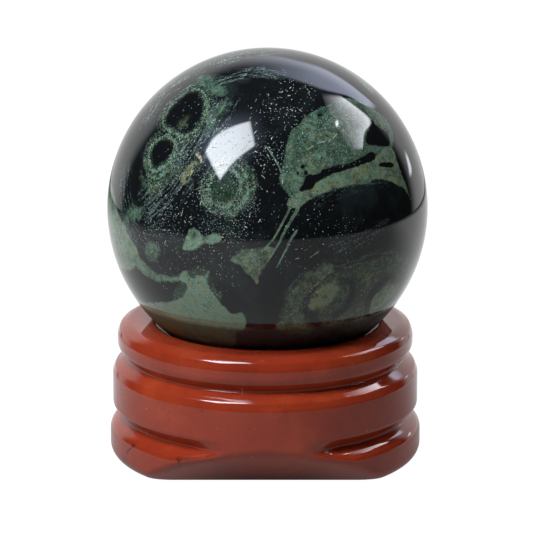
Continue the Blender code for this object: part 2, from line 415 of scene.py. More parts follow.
# A ringed eye: where it is, its radius in mm, and how far it is drawn out.
Eye = namedtuple("Eye", "azimuth elevation radius stretch")
HIDDEN_EYES = (
    Eye(152, 28, 5.6, 1.25), Eye(178, -6, 4.2, 1.10), Eye(-148, 30, 6.4, 1.15),
    Eye(-124, -4, 4.6, 1.30), Eye(118, 12, 4.8, 1.20), Eye(170, 62, 4.4, 1.40),
    Eye(-168, -38, 5.2, 1.20), Eye(128, -34, 4.0, 1.25), Eye(-100, 48, 3.8, 1.30),
)
# A blotch: where it is, its radius in mm, how far it is drawn out, and its kind as a patch.
Blotch = namedtuple("Blotch", "azimuth elevation radius stretch pale olive soft")
HIDDEN_BLOTCHES = (
    Blotch(-176, 24, 5.6, 1.30, 0.30, 0.12, 0.6), Blotch(146, -10, 5.8, 1.25, 0.45, 0.30, 0.6),
    Blotch(-140, -26, 6.8, 1.25, 0.60, 0.14, 0.6), Blotch(-152, 66, 5.0, 1.45, 0.30, 0.20, 0.8),
    Blotch(172, -62, 6.2, 1.40, 0.60, 0.20, 0.8), Blotch(100, -60, 5.0, 1.50, 0.30, 0.45, 1.2),
    Blotch(-70, -62, 5.4, 1.40, 0.55, 0.20, 0.8), Blotch(104, 58, 4.0, 1.40, 0.25, 0.10, 0.6),
    Blotch(-160, 4, 3.0, 1.30, 0.20, 0.30, 0.9), Blotch(112, -14, 3.2, 1.50, 0.15, 0.25, 1.2),
    Blotch(-96, -20, 3.4, 1.60, 0.20, 0.20, 1.2), Blotch(84, 20, 2.6, 1.40, 0.15, 0.10, 1.0),
)
# A vein between two directions, how far its middle is pushed aside, and its widths and tone.
Link = namedtuple("Link", "start end bow start_width end_width tone")
HIDDEN_LINKS = (
    Link((-176, 20), (146, -2), 0.10, 0.40, 0.25, 0.50),
    Link((146, -12), (175, -58), -0.12, 0.35, 0.20, 0.50),
    Link((-140, -20), (-176, 22), 0.14, 0.15, 0.30, 0.55),
    Link((-145, -30), (172, -56), 0.08, 0.30, 0.15, 0.50),
    Link((-152, 62), (-120, 20), -0.10, 0.25, 0.12, 0.55),
    Link((130, 50), (165, 10), 0.16, 0.12, 0.25, 0.60),
    Link((-168, 32), (-178, 18), -0.12, 0.05, 0.08, 0.85),
    Link((150, -18), (142, -4), 0.12, 0.05, 0.08, 0.90),
)
HIDDEN_SWIRLS = (
    Swirl(4.4, 0.9, ((120, 40), (140, 15), (165, -10), (-175, -30), (-150, -50))),
    Swirl(3.6, 0.7, ((-110, 20), (-135, 45), (-165, 55), (160, 50))),
)
# Speckled areas: azimuth, elevation, radius in mm and share.
HIDDEN_SPECKS = ((152, 28, 9, 0.6), (-148, 30, 10, 0.6), (178, -6, 8, 0.5), (-124, -4, 8, 0.5))
HIDDEN_FLECKS = ((160, 10, 16, 0.45), (-150, 0, 16, 0.35), (180, 70, 12, 0.4))

OUTLINE_POINTS = 18
OUTLINE_WAVES = np.arange(2, 8)
OUTLINE_ROUGHNESS = 0.56
EYE_ROUGHNESS = 0.12
EYE_SHARES = (1.0, 0.62, 0.28)
# The range of the pale and the olive of the hidden eyes' cores.
HIDDEN_CORE_PALE = (0.3, 0.6)
HIDDEN_CORE_OLIVE = (0.3, 0.9)
RUN_POINTS = 9
# A swirl shows whole up to this share of its half width, and fades in over this share of its
# run at each end. A speckled area is at its densest up to a share of its radius.
SWIRL_WHOLE, SWIRL_ENDS = 0.45, 0.12
SPECKLE_WHOLE = 0.3


def wobbly_outline(rng, radius, stretch, roughness):
    """A closed outline round the middle of a chart. Its radius is one plus a sum of a few
    waves, each weaker the shorter it is, and it is drawn out along a drawn bearing."""
    bearing = np.linspace(0.0, 2 * np.pi, OUTLINE_POINTS, endpoint=False)
    strength = rng.normal(size=len(OUTLINE_WAVES)) * roughness / OUTLINE_WAVES
    phase = rng.uniform(0.0, 2 * np.pi, len(OUTLINE_WAVES))
    waves = np.cos(np.outer(bearing, OUTLINE_WAVES) + phase) @ strength
    lean = rng.uniform(0.0, np.pi)
    far = radius * (1.0 + waves)
    long_way, short_way = far * np.cos(bearing) * stretch, far * np.sin(bearing) / stretch
    return np.stack((long_way * np.cos(lean) - short_way * np.sin(lean),
                     long_way * np.sin(lean) + short_way * np.cos(lean)), axis=1)


def hidden_eye(rng, eye):
    """The outlines of one eye's granular ring, dark zone and core, one inside the other."""
    centre = compass_direction(eye.azimuth, eye.elevation)
    outline = rounded_curve(wobbly_outline(rng, eye.radius, eye.stretch, EYE_ROUGHNESS), True)
    return [Shape(centre, outline * share) for share in EYE_SHARES]


def hidden_blotch(rng, blotch):
    """The outline of one green blotch."""
    outline = wobbly_outline(rng, blotch.radius, blotch.stretch, OUTLINE_ROUGHNESS)
    return Shape(compass_direction(blotch.azimuth, blotch.elevation),
                 rounded_curve(outline, True))


def hidden_run(link):
    """The run of one vein: the straight way between its ends, pushed aside by a half wave."""
    start, end = compass_direction(*link.start), compass_direction(*link.end)
    share = np.linspace(0.0, 1.0, RUN_POINTS)[:, None]
    aside = np.cross(start, end)
    way = start * (1 - share) + end * share + aside * np.sin(np.pi * share) * link.bow
    return skin_shape(way / np.linalg.norm(way, axis=1, keepdims=True), False)


# What each point of the ball's skin carries

def deepest(directions, shapes, *values, softness=None):
    """The greatest depth inside any of the shapes, and the values of the shape that gives it."""
    depth, owner = depth_field(directions, shapes, softness or [1.0] * len(shapes))
    return depth, *(np.asarray(value, float)[owner] for value in values)


def vein_fields(directions, veins):
    """For the vein whose edge is nearest: the signed distance from its middle, the plain
    distance, its half width there, and its tone."""
    across = np.full(len(directions), SHAPE_MARGIN)
    reach, half, tone = across.copy(), np.full(len(directions), TINY), across * 0.0
    for shape, start_width, end_width, vein_tone in veins:
        near, places = near_shape(directions, shape)
        side, gap, _, share = along_curve(places, shape.curve)
        width = start_width + (end_width - start_width) * share
        nearer = gap - width < reach[near] - half[near]
        for field, found in ((across, side), (reach, gap), (half, width)):
            field[near] = np.where(nearer, found, field[near])
        tone[near] = np.where(nearer, vein_tone, tone[near])
    return across, reach, half, tone


def swirl_fields(directions, swirls):
    """For the swirl that shows most: the distance across its run, the distance along it, and
    how much it shows, which falls away from the run to nothing at the swirl's half width."""
    across, along, shows = (np.zeros(len(directions)) for _ in range(3))
    for shape, half_width, strength in swirls:
        near, places = near_shape(directions, shape)
        side, gap, run, share = along_curve(places, shape.curve)
        found = strength * (1.0 - smooth_share(gap, half_width * SWIRL_WHOLE, half_width))
        found = found * smooth_share(np.minimum(share, 1.0 - share), 0.0, SWIRL_ENDS)
        more = found > shows[near]
        for field, value in ((across, side), (along, run), (shows, found)):
            field[near] = np.where(more, value, field[near])
    return across, along, shows


def spot_share(gap, radius):
    """1 in the middle of a round spot, falling smoothly to nothing at its rim."""
    return 1.0 - smooth_share(gap, radius * SPECKLE_WHOLE, radius)


def speckle_field(directions, areas):
    """How dense the specks are: each area's share at its middle, falling smoothly to its rim."""
    share = np.zeros(len(directions))
    for centre, radius, most in areas:
        arc = np.arccos(np.clip(directions @ centre, -1.0, 1.0)) * BALL_MM
        share = np.maximum(share, most * spot_share(arc, radius))
    return share


def speckle_areas(seen, hidden):
    """Middle, radius in mm and share of each speckled area, of the seen and the hidden side."""
    areas = [(seen_direction((spot.x, spot.y))[0], spot.radius * PIXEL_MM, spot.share)
             for spot in seen]
    return areas + [(compass_direction(*spot[:2]), *spot[2:]) for spot in hidden]


def ball_fields(directions):
    """Every marking of the ball as named sets of three values for each point of its skin."""
    rng = np.random.default_rng(SEED)
    eyes = [hidden_eye(rng, eye) for eye in HIDDEN_EYES]
    blotches = [hidden_blotch(rng, blotch) for blotch in HIDDEN_BLOTCHES]
    patches = [seen_shape(patch.outline) for patch in SEEN_PATCHES.values()] + blotches
    patch_kinds = [*SEEN_PATCHES.values(), *HIDDEN_BLOTCHES]
    rings = [seen_shape(points) for points in SEEN_RINGS] + [eye[0] for eye in eyes]
    darks = [seen_shape(points) for points in SEEN_DARKS] + [eye[1] for eye in eyes]
    slits = [seen_shape(points) for points in SEEN_SLITS]
    cores = [seen_shape(core.outline) for core in SEEN_CORES] + [eye[2] for eye in eyes]
    core_pale = [core.pale for core in SEEN_CORES] + list(rng.uniform(*HIDDEN_CORE_PALE, len(eyes)))
    core_olive = [core.olive for core in SEEN_CORES] + list(rng.uniform(*HIDDEN_CORE_OLIVE, len(eyes)))
    veins = [(seen_shape(vein.run, False), *vein[:3]) for vein in SEEN_VEINS]
    veins += [(hidden_run(link), *link[3:]) for link in HIDDEN_LINKS]
    swirls = [(seen_shape(swirl.run, False), *swirl[:2]) for swirl in SEEN_SWIRLS]
    for swirl in HIDDEN_SWIRLS:
        run = np.array([compass_direction(*stop) for stop in swirl.run])
        swirls.append((skin_shape(run, False), *swirl[:2]))
    branches = [(seen_shape(vein.run, False), *vein[:3]) for vein in SEEN_BRANCHES]

    across, reach, half, tone = vein_fields(directions, veins)
    core_depth, pale, olive = deepest(directions, cores, core_pale, core_olive)
    ring_depth, dark_depth, slit_depth = (
        deepest(directions, shapes)[0] for shapes in (rings, darks, slits))
    return {
        "patch": deepest(directions, patches, [kind.pale for kind in patch_kinds],
                         [kind.olive for kind in patch_kinds],
                         softness=[kind.soft for kind in patch_kinds]),
        "eye": (ring_depth, dark_depth, core_depth),
        "tint": (pale, olive, tone),
        "vein": (across, reach, half),
        "branch": vein_fields(directions, branches)[:3],
        "swirl": swirl_fields(directions, swirls),
        "specks": (speckle_field(directions, speckle_areas(SEEN_SPECKS, HIDDEN_SPECKS)),
                   speckle_field(directions, speckle_areas(SEEN_FLECKS, HIDDEN_FLECKS)),
                   slit_depth),
    }


# The meshes

BALL_DIVISIONS = 128
# How much closer together the ball's points lie at the front than at the back.
FRONT_PULL = 0.38
WELD_DIGITS = 7


def make_piece(name, points, faces, material, node):
    """A smooth piece from its points and faces, riding in place of its CAD node."""
    mesh = bpy.data.meshes.new(name)
    mesh.from_pydata(points.tolist(), [], faces)
    mesh.materials.append(material)
    mesh.shade_smooth()
    piece = bpy.data.objects.new(name, mesh)
    bpy.context.scene.collection.objects.link(piece)
    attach(piece, "root")
    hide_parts(node)
    return piece


def cube_sphere(divisions):
    """Unit directions, and the quads between them, of a ball made of a cube's six sides. On
    each side a point is the side's axis plus the tangents of two even angles from -45 to 45
    degrees along its two edges, brought to length one. Shared edges are welded."""
    slope = np.tan(np.linspace(-np.pi / 4, np.pi / 4, divisions + 1))
    first, second = (part[..., None] for part in np.meshgrid(slope, slope, indexing="ij"))
    sides = []
    for axis in range(3):
        out, level, up = np.roll(np.eye(3), axis, axis=0)
        sides += [out + first * level + second * up, -out - first * level + second * up]
    points = np.concatenate([side.reshape(-1, 3) for side in sides])
    points /= np.linalg.norm(points, axis=1, keepdims=True)
    number = np.arange(len(points)).reshape(len(sides), divisions + 1, divisions + 1)
    quads = np.stack((number[:, :-1, :-1], number[:, 1:, :-1], number[:, 1:, 1:],
                      number[:, :-1, 1:]), axis=3).reshape(-1, 4)
    _, kept, welded = np.unique(np.round(points, WELD_DIGITS) + 0.0, axis=0,
                                return_index=True, return_inverse=True)
    return points[kept], welded.ravel()[quads]


def make_ball(material):
    """The ball, with its markings as attributes of its skin. A push of every direction towards
    the front, brought back to length one, makes its points denser there."""
    directions, quads = cube_sphere(BALL_DIVISIONS)
    directions = directions - FORWARD * FRONT_PULL
    directions /= np.linalg.norm(directions, axis=1, keepdims=True)
    points = BALL_CENTRE + directions * BALL_RADIUS
    ball = make_piece("kambaba_ball", points, quads.tolist(), material, "ball")
    carry(ball, ball_fields(directions))


# The stand's turned section, in mm, from the frame and the CAD model's own dimensions.
stand_low, stand_high = (np.array(corner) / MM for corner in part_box("stand"))
STAND_AXIS_X = (stand_low[0] + stand_high[0]) / 2
FOOT_RADIUS = (stand_high[0] - stand_low[0]) / 2
BAND_RADIUS = (stand_high[1] - stand_low[1]) / 2
RING_TOP = stand_high[2]
SEAT_GAP = 0.3
SEAT_RADIUS = BALL_MM + SEAT_GAP
BALL_HEIGHT = BALL_CENTRE[2] / MM
SEAT_EDGE_ANGLE = np.arccos((BALL_HEIGHT - RING_TOP) / SEAT_RADIUS)
SEAT_EDGE_RADIUS = SEAT_RADIUS * np.sin(SEAT_EDGE_ANGLE)
RING_RADIUS = 23.2
RING_TOP_ROUNDING = 2.6
BAND_UNDERSIDE = 8.6
BAND_UNDERSIDE_ROUNDING = 1.1
SEAT_EDGE_ROUNDING = 0.9
# Radius, height and rounding of each corner, from the seat's edge down to the foot.
SECTION_CORNERS = (
    (SEAT_EDGE_RADIUS, RING_TOP, SEAT_EDGE_ROUNDING),
    (21.40, RING_TOP, 2.2),
    (22.75, 21.05, 1.0),
    (RING_RADIUS, 19.80, 2.2),
    (RING_RADIUS, 17.85, 2.3),
    (21.75, 16.2, 0.3),
    (23.55, 14.85, 0.9),
    (BAND_RADIUS, 13.70, 1.6),
    (BAND_RADIUS, BAND_UNDERSIDE, BAND_UNDERSIDE_ROUNDING),
    (22.3, 6.8, 0.3),
    (FOOT_RADIUS, 5.45, 2.2),
    (FOOT_RADIUS, 0.0, 2.2),
)
# The lower groove is gone up to the first of these bearings from the cut's middle, and whole
# from the second.
RUN_OUT_GONE = np.radians(12.0)
RUN_OUT_WHOLE = np.radians(33.0)
# A cut's distance from the axis at the table, how much further out it lies a mm higher up, and
# how softly it meets the skin, in mm.
HOLLOW_DEPTH = 15.0
HOLLOW_SLOPE = 1.36
HOLLOW_SOFTNESS = 1.6
STAND_TURNS = 400
ARC_STEPS = 14
SEAT_STEPS = 16
FACE_STEP = 0.32
BASE_STEPS = 14


def rounded_corner(before, corner, after, rounding):
    """Points of the arc, tangent to both faces, that takes a corner's place."""
    first = (before - corner) / np.linalg.norm(before - corner)
    second = (after - corner) / np.linalg.norm(after - corner)
    half = np.arccos(first @ second) / 2
    middle = (first + second) / np.linalg.norm(first + second)
    centre = corner + middle * rounding / np.sin(half)
    start = corner + first * rounding / np.tan(half) - centre
    end = corner + second * rounding / np.tan(half) - centre
    turn = np.arctan2(start[0] * end[1] - start[1] * end[0], start @ end)
    angle = np.linspace(0.0, turn, ARC_STEPS + 1)
    swung = np.array((-start[1], start[0]))
    return centre + np.outer(np.cos(angle), start) + np.outer(np.sin(angle), swung)


def stand_section():
    """Radius and height of the section from the seat's middle, out along the ball's curve, over
    the ring, down the outside and back to the middle of the base."""
    angle = np.linspace(0.0, SEAT_EDGE_ANGLE, SEAT_STEPS, endpoint=False)
    seat = np.stack((SEAT_RADIUS * np.sin(angle), BALL_HEIGHT - SEAT_RADIUS * np.cos(angle)), 1)
    stops = np.array([corner[:2] for corner in SECTION_CORNERS])
    before = np.concatenate((seat[-1:], stops[:-1]))
    after = np.concatenate((stops[1:], ((0.0, 0.0),)))
    outside = np.concatenate([
        rounded_corner(*ends, corner[2])
        for *ends, corner in zip(before, stops, after, SECTION_CORNERS)])
    gaps = np.linalg.norm(np.diff(outside, axis=0), axis=1)
    finer = [np.linspace(start, end, max(1, round(gap / FACE_STEP)), endpoint=False)
             for start, end, gap in zip(outside, outside[1:], gaps)]
    base = np.linspace(outside[-1], (0.0, 0.0), BASE_STEPS)
    return np.concatenate((seat, *finer, base))


def turned_surface(section, turns):
    """The closed surface that a section makes when turned about the upright axis, with one
    point at each pole. A point is radius times the cosine and sine of an even angle, and the
    section's height."""
    angle = np.arange(turns) * 2 * np.pi / turns
    radius, height = section[1:-1, :1], section[1:-1, 1:]
    rings = np.stack((radius * np.cos(angle), radius * np.sin(angle), height + 0 * angle), axis=2)
    poles = np.array([(0.0, 0.0, section[end, 1]) for end in (0, -1)])
    points = np.concatenate((rings.reshape(-1, 3), poles))
    number = np.arange(rings.shape[0] * turns).reshape(-1, turns)
    beside = np.roll(number, -1, axis=1)
    quads = np.stack((number[:-1], number[1:], beside[1:], beside[:-1]), axis=2).reshape(-1, 4)
    top, base = len(points) - 2, len(points) - 1
    fans = [np.stack((np.full(turns, top), number[0], beside[0]), axis=1),
            np.stack((np.full(turns, base), beside[-1], number[-1]), axis=1)]
    return points, quads.tolist() + np.concatenate(fans).tolist()


def soft_minimum(first, second, softness):
    """The smaller of two lengths, rounded off where they come within softness."""
    share = np.clip(0.5 + 0.5 * (second - first) / softness, 0.0, 1.0)
    return second + (first - second) * share - softness * share * (1.0 - share)


def grind_foot(points):
    """Push the skin below the band in to two slanting cuts, front and back. At a bearing whose
    share of the front is f, a cut lies at (depth + slope height) / f from the axis, and the
    lower groove runs out into the band's radius before it reaches the cut's middle."""
    radius = np.maximum(np.hypot(points[:, 0], points[:, 1]), TINY)
    height = points[:, 2]
    facing = np.clip(np.abs(points[:, 1]) / radius, TINY, 1.0)
    run_out = smooth_share(-np.arccos(facing), -RUN_OUT_WHOLE, -RUN_OUT_GONE)
    target = radius + np.where(height > TINY, (BAND_RADIUS - radius) * run_out, 0.0)
    cut = (HOLLOW_DEPTH + HOLLOW_SLOPE * height) / facing
    ground = soft_minimum(target, cut, HOLLOW_SOFTNESS) / radius
    kept = (height > BAND_UNDERSIDE + BAND_UNDERSIDE_ROUNDING) | (radius < TINY * 2)
    points[:, :2] *= np.where(kept, 1.0, ground)[:, None]


def set_on_axis(points):
    """Move the turned outside to the stand's own axis, while the seat stays under the ball."""
    radius = np.hypot(points[:, 0], points[:, 1])
    inside = SEAT_EDGE_RADIUS + SEAT_EDGE_ROUNDING / 2
    seat = np.clip((RING_RADIUS - RING_TOP_ROUNDING - radius)
                   / (RING_RADIUS - RING_TOP_ROUNDING - inside), 0.0, 1.0)
    seat = np.where(points[:, 2] < BALL_HEIGHT - SEAT_RADIUS - SEAT_GAP, 0.0, seat)
    points[:, 0] += STAND_AXIS_X * (1.0 - seat)


# A crack on the stand: its half width in mm, its tone from 0 dark to 1 pale, and its run. A run
# with hardly any length is a dot.
Crack = namedtuple("Crack", "half_width tone run")
SEEN_CRACKS = (
    Crack(0.14, 0.0, ((136, 446), (132, 449), (129, 453))),
    Crack(0.08, 0.0, ((134, 444), (133, 448))),
    Crack(0.09, 0.0, ((129, 455), (127, 458), (125, 461))),
    Crack(0.09, 0.0, ((125, 464), (126, 466))),
    Crack(0.08, 0.0, ((178, 458), (179, 461), (180, 464))),
    Crack(0.06, 0.0, ((182, 459), (180, 463))),
    Crack(0.04, 0.0, ((163, 474), (172, 469), (182, 467), (192, 465))),
    Crack(0.12, 0.0, ((202, 411), (202.3, 411.3))),
    Crack(0.10, 0.0, ((169, 412), (169.3, 412.3))),
    Crack(0.10, 0.0, ((116, 385), (116.3, 385.3))),
    Crack(0.10, 0.0, ((313, 414), (313.5, 414))),
    Crack(0.06, 1.0, ((240, 392), (240, 397))),
)
# Greyish stains on the stand, each with its radius in pixels and its share.
SEEN_BRUISES = (
    Speckle(316, 390, 7, 0.35), Speckle(324, 389, 5, 0.60), Speckle(361, 372, 7, 0.50),
    Speckle(372, 379, 4, 0.40), Speckle(374, 361, 3, 0.50), Speckle(188, 464, 12, 0.35),
    Speckle(172, 469, 9, 0.25),
)


def unrolled(points):
    """Places of the stand's skin in mm round from the middle of the front, at the band's
    radius, and up."""
    azimuth = np.arctan2(points[:, 0] - STAND_AXIS_X, -points[:, 1])
    return np.stack((azimuth * BAND_RADIUS, points[:, 2]), axis=1)


def seen_on_stand(points):
    """The unrolled places that show at places of the photograph: a camera's ray meets the
    band's cylinder where its distance from the axis first equals the band's radius."""
    places = np.asarray(points, float)
    ray = (FORWARD * FOCAL_PIXELS + RIGHT * (places[:, :1] - PHOTO_BALL_X)
           + UP * (PHOTO_BALL_Y - places[:, 1:]))
    axis = np.array((STAND_AXIS_X, 0.0, 0.0))
    start = CAMERA_PLACE / MM - axis
    level = (ray[:, :2] ** 2).sum(1)
    toward = ray[:, :2] @ start[:2]
    outside = start[:2] @ start[:2] - BAND_RADIUS ** 2
    reach = (-toward - np.sqrt(toward ** 2 - level * outside)) / level
    return unrolled(axis + start + ray * reach[:, None])


def stand_fields(points):
    """The stand's marks as named sets of three values for each point of its skin: for the
    nearest crack the signed and the plain distance and its half width, then its tone and, as
    both other values, how much the skin is bruised."""
    places = unrolled(points)
    across = np.full(len(places), SHAPE_MARGIN)
    reach, half, tone = across.copy(), np.full(len(places), TINY), across * 0.0
    for crack in SEEN_CRACKS:
        side, gap, _, _ = along_curve(places, rounded_curve(seen_on_stand(crack.run), False))
        nearer = gap < reach
        across, reach = np.where(nearer, side, across), np.where(nearer, gap, reach)
        half = np.where(nearer, crack.half_width, half)
        tone = np.where(nearer, crack.tone, tone)
    bruise = across * 0.0
    for spot in SEEN_BRUISES:
        radius = spot.radius * PIXEL_MM
        gap = np.linalg.norm(places - seen_on_stand([(spot.x, spot.y)]), axis=1)
        bruise = np.maximum(bruise, spot.share * spot_share(gap, radius))
    return {"crack": (across, reach, half), "marks": (tone, bruise, bruise)}


def carry(piece, fields):
    """Give a piece its fields as attributes of its points."""
    for name, values in fields.items():
        field = piece.data.attributes.new(name, "FLOAT_VECTOR", "POINT")
        field.data.foreach_set("vector", np.stack(values, axis=1).astype(np.float32).ravel())


def make_stand(material):
    """The turned, ground and polished stand."""
    points, faces = turned_surface(stand_section(), STAND_TURNS)
    grind_foot(points)
    set_on_axis(points)
    stand = make_piece("jasper_stand", points * MM, faces, material, "stand")
    carry(stand, stand_fields(points))


# Shader nodes

class Wiring:
    """A node tree, with a short way to add each kind of node and wire it up. A value that goes
    into a node is another node's output or a plain number or colour."""

    def __init__(self, tree):
        self.tree = tree

    def wire(self, source, socket):
        if isinstance(source, bpy.types.NodeSocket):
            self.tree.links.new(source, socket)
        else:
            socket.default_value = source

    def add(self, kind, inputs=(), **settings):
        node = self.tree.nodes.new("ShaderNode" + kind)
        for name, value in settings.items():
            setattr(node, name, value)
        for socket, source in dict(inputs).items():
            self.wire(source, node.inputs[socket])
        return node

    def math(self, operation, *values):
        return self.add("Math", enumerate(values), operation=operation).outputs[0]

    def vector(self, operation, *values, output="Vector"):
        node = self.add("VectorMath", enumerate(values), operation=operation)
        return node.outputs[output]

    def scaled(self, vector, factor):
        node = self.add("VectorMath", {0: vector, "Scale": factor}, operation="SCALE")
        return node.outputs["Vector"]

    def rise(self, value, low, high, start=0.0, end=1.0):
        node = self.add("MapRange", enumerate((value, low, high, start, end)),
                        interpolation_type="SMOOTHSTEP")
        return node.outputs["Result"]

    def blend(self, share, first, second):
        node = self.add("Mix", {0: share, 6: first, 7: second}, data_type="RGBA")
        return node.outputs[2]

    def split(self, vector):
        return self.add("SeparateXYZ", {0: vector}).outputs

    def carried(self, name):
        return self.split(self.add("Attribute", attribute_name=name).outputs["Vector"])

    def group(self, tree, **inputs):
        node = self.add("Group", node_tree=tree)
        for name, source in inputs.items():
            self.wire(source, node.inputs[name.replace("_", " ")])
        return node.outputs


def new_group(name, inputs, outputs):
    """An empty node group with named inputs, each of a kind and a value, and outputs."""
    tree = bpy.data.node_groups.new(name, "ShaderNodeTree")
    for socket, (kind, value) in inputs.items():
        made = tree.interface.new_socket(socket, in_out="INPUT", socket_type="NodeSocket" + kind)
        if value is not None:
            made.default_value = value
    for socket in outputs:
        tree.interface.new_socket(socket, in_out="OUTPUT", socket_type="NodeSocketFloat")
    wiring = Wiring(tree)
    return tree, wiring, wiring.tree.nodes.new("NodeGroupInput").outputs


def close_group(wiring, **outputs):
    """Wire a group's results to its outputs."""
    end = wiring.tree.nodes.new("NodeGroupOutput")
    for name, source in outputs.items():
        wiring.wire(source, end.inputs[name])


CLOUD_DETAIL, CLOUD_ROUGHNESS = 5.0, 0.58
FLECK_SHORTEST = 0.2
FLECK_EDGE = (1.1, 0.7)
# The skin's slow waves and its smears, in turns to a mm, and how the smears change its gloss.
WAVES_PER_MM, SMEARS_PER_MM = 0.16, 0.45
SMEAR_GLOSS = (0.35, 0.75, 0.8, 1.5)


def clouds_group():
    """Uneven tone in stone: fractal noise of a size in mm, with its contrast raised, round one
    half."""
    tree, wiring, given = new_group("stone clouds", {
        "Place": ("Vector", None), "Size": ("Float", 3.0), "Contrast": ("Float", 1.5)},
        ("Cloud",))
    place = wiring.vector("DIVIDE", given["Place"], wiring.add(
        "CombineXYZ", {axis: given["Size"] for axis in range(3)}).outputs[0])
    noise = wiring.add("TexNoise", {"Vector": place, "Scale": 1.0, "Detail": CLOUD_DETAIL,
                                    "Roughness": CLOUD_ROUGHNESS})
    around = wiring.math("SUBTRACT", noise.outputs["Fac"], 0.5)
    cloud = wiring.math("MULTIPLY_ADD", around, given["Contrast"], 0.5)
    close_group(wiring, Cloud=wiring.rise(cloud, 0.0, 1.0))
    return tree


def flecks_group():
    """Short flecks that lie in the surface. The nearest of a field of scattered points owns
    each place; the offset from it, laid into the surface, is measured along and across a
    drawn bearing, and a share of the points has a fleck. Tone is drawn for each."""
    tree, wiring, given = new_group("stone flecks", {
        "Place": ("Vector", None), "Normal": ("Vector", None), "Spacing": ("Float", 1.0),
        "Length": ("Float", 0.5), "Width": ("Float", 0.1), "Share": ("Float", 0.5)},
        ("Fleck", "Tone"))
    spacing = wiring.add("CombineXYZ", {axis: given["Spacing"] for axis in range(3)}).outputs[0]
    place = wiring.vector("DIVIDE", given["Place"], spacing)
    points = wiring.add("TexVoronoi", {"Vector": place, "Scale": 1.0}, feature="F1")
    owner = points.outputs["Position"]
    drawn = wiring.add("TexWhiteNoise", {"Vector": owner}).outputs["Color"]
    pick, size, tone = wiring.split(drawn)
    offset = wiring.vector("MULTIPLY", wiring.vector("SUBTRACT", place, owner), spacing)
    lift = wiring.vector("DOT_PRODUCT", offset, given["Normal"], output="Value")
    offset = wiring.vector("SUBTRACT", offset, wiring.scaled(given["Normal"], lift))
    heading = wiring.vector("CROSS_PRODUCT", given["Normal"], wiring.vector(
        "SUBTRACT", points.outputs["Color"], (0.5, 0.5, 0.5)))
    heading = wiring.vector("NORMALIZE", heading)
    along = wiring.vector("DOT_PRODUCT", offset, heading, output="Value")
    across = wiring.vector("DOT_PRODUCT", offset, wiring.vector(
        "CROSS_PRODUCT", given["Normal"], heading), output="Value")
    stretch = wiring.math("MULTIPLY_ADD", size, 1.0 - FLECK_SHORTEST, FLECK_SHORTEST)
    long_share = wiring.math("DIVIDE", along, wiring.math("MULTIPLY", given["Length"], stretch))
    wide_share = wiring.math("DIVIDE", across, given["Width"])
    reach = wiring.math("SQRT", wiring.math("ADD", wiring.math("MULTIPLY", long_share, long_share),
                                            wiring.math("MULTIPLY", wide_share, wide_share)))
    chosen = wiring.math("LESS_THAN", pick, given["Share"])
    fleck = wiring.math("MULTIPLY", chosen, wiring.rise(reach, *FLECK_EDGE))
    close_group(wiring, Fleck=fleck, Tone=tone)
    return tree


def polish_group():
    """A polished skin: its roughness, a little uneven and higher in the flecks, and its height
    in mm, a faint slow wave less the depth of the flecks, which are small pits."""
    tree, wiring, given = new_group("polished skin", {
        "Place": ("Vector", None), "Fleck": ("Float", 0.0), "Gloss": ("Float", 0.04),
        "Fleck roughness": ("Float", 0.4), "Wave": ("Float", 0.004), "Pit": ("Float", 0.02)},
        ("Roughness", "Height"))
    wave = wiring.add("TexNoise", {"Vector": wiring.scaled(given["Place"], WAVES_PER_MM),
                                   "Scale": 1.0, "Detail": 1.0})
    smear = wiring.add("TexNoise", {"Vector": wiring.scaled(given["Place"], SMEARS_PER_MM),
                                    "Scale": 1.0, "Detail": 4.0})
    uneven = wiring.rise(smear.outputs["Fac"], *SMEAR_GLOSS)
    roughness = wiring.math("MULTIPLY_ADD", given["Fleck"], given["Fleck roughness"],
                            wiring.math("MULTIPLY", given["Gloss"], uneven))
    height = wiring.math("MULTIPLY", wave.outputs["Fac"], given["Wave"])
    pits = wiring.math("MULTIPLY", given["Fleck"], given["Pit"])
    close_group(wiring, Roughness=roughness, Height=wiring.math("SUBTRACT", height, pits))
    return tree


CLOUDS = clouds_group()
FLECKS = flecks_group()
POLISH = polish_group()
STONE_IOR = 1.54


def new_stone(name):
    """A material of its own, its wiring, its shader, and its coordinates: places in mm and the
    surface's normal."""
    material = bpy.data.materials.new(name)
    material.use_nodes = True
    wiring = Wiring(material.node_tree)
    shader = material.node_tree.nodes["Principled BSDF"]
    shader.inputs["IOR"].default_value = STONE_IOR
    coordinates = wiring.add("TexCoord")
    place = wiring.scaled(coordinates.outputs["Object"], 1 / MM)
    return material, wiring, shader, place, coordinates.outputs["Normal"]


def finish_stone(wiring, shader, colour, polish):
    """Wire a stone's colour and its polished skin to its shader."""
    bump = wiring.add("Bump", {"Height": polish["Height"], "Distance": MM})
    wiring.wire(colour, shader.inputs["Base Color"])
    wiring.wire(polish["Roughness"], shader.inputs["Roughness"])
    wiring.wire(bump.outputs["Normal"], shader.inputs["Normal"])


# The kambaba jasper

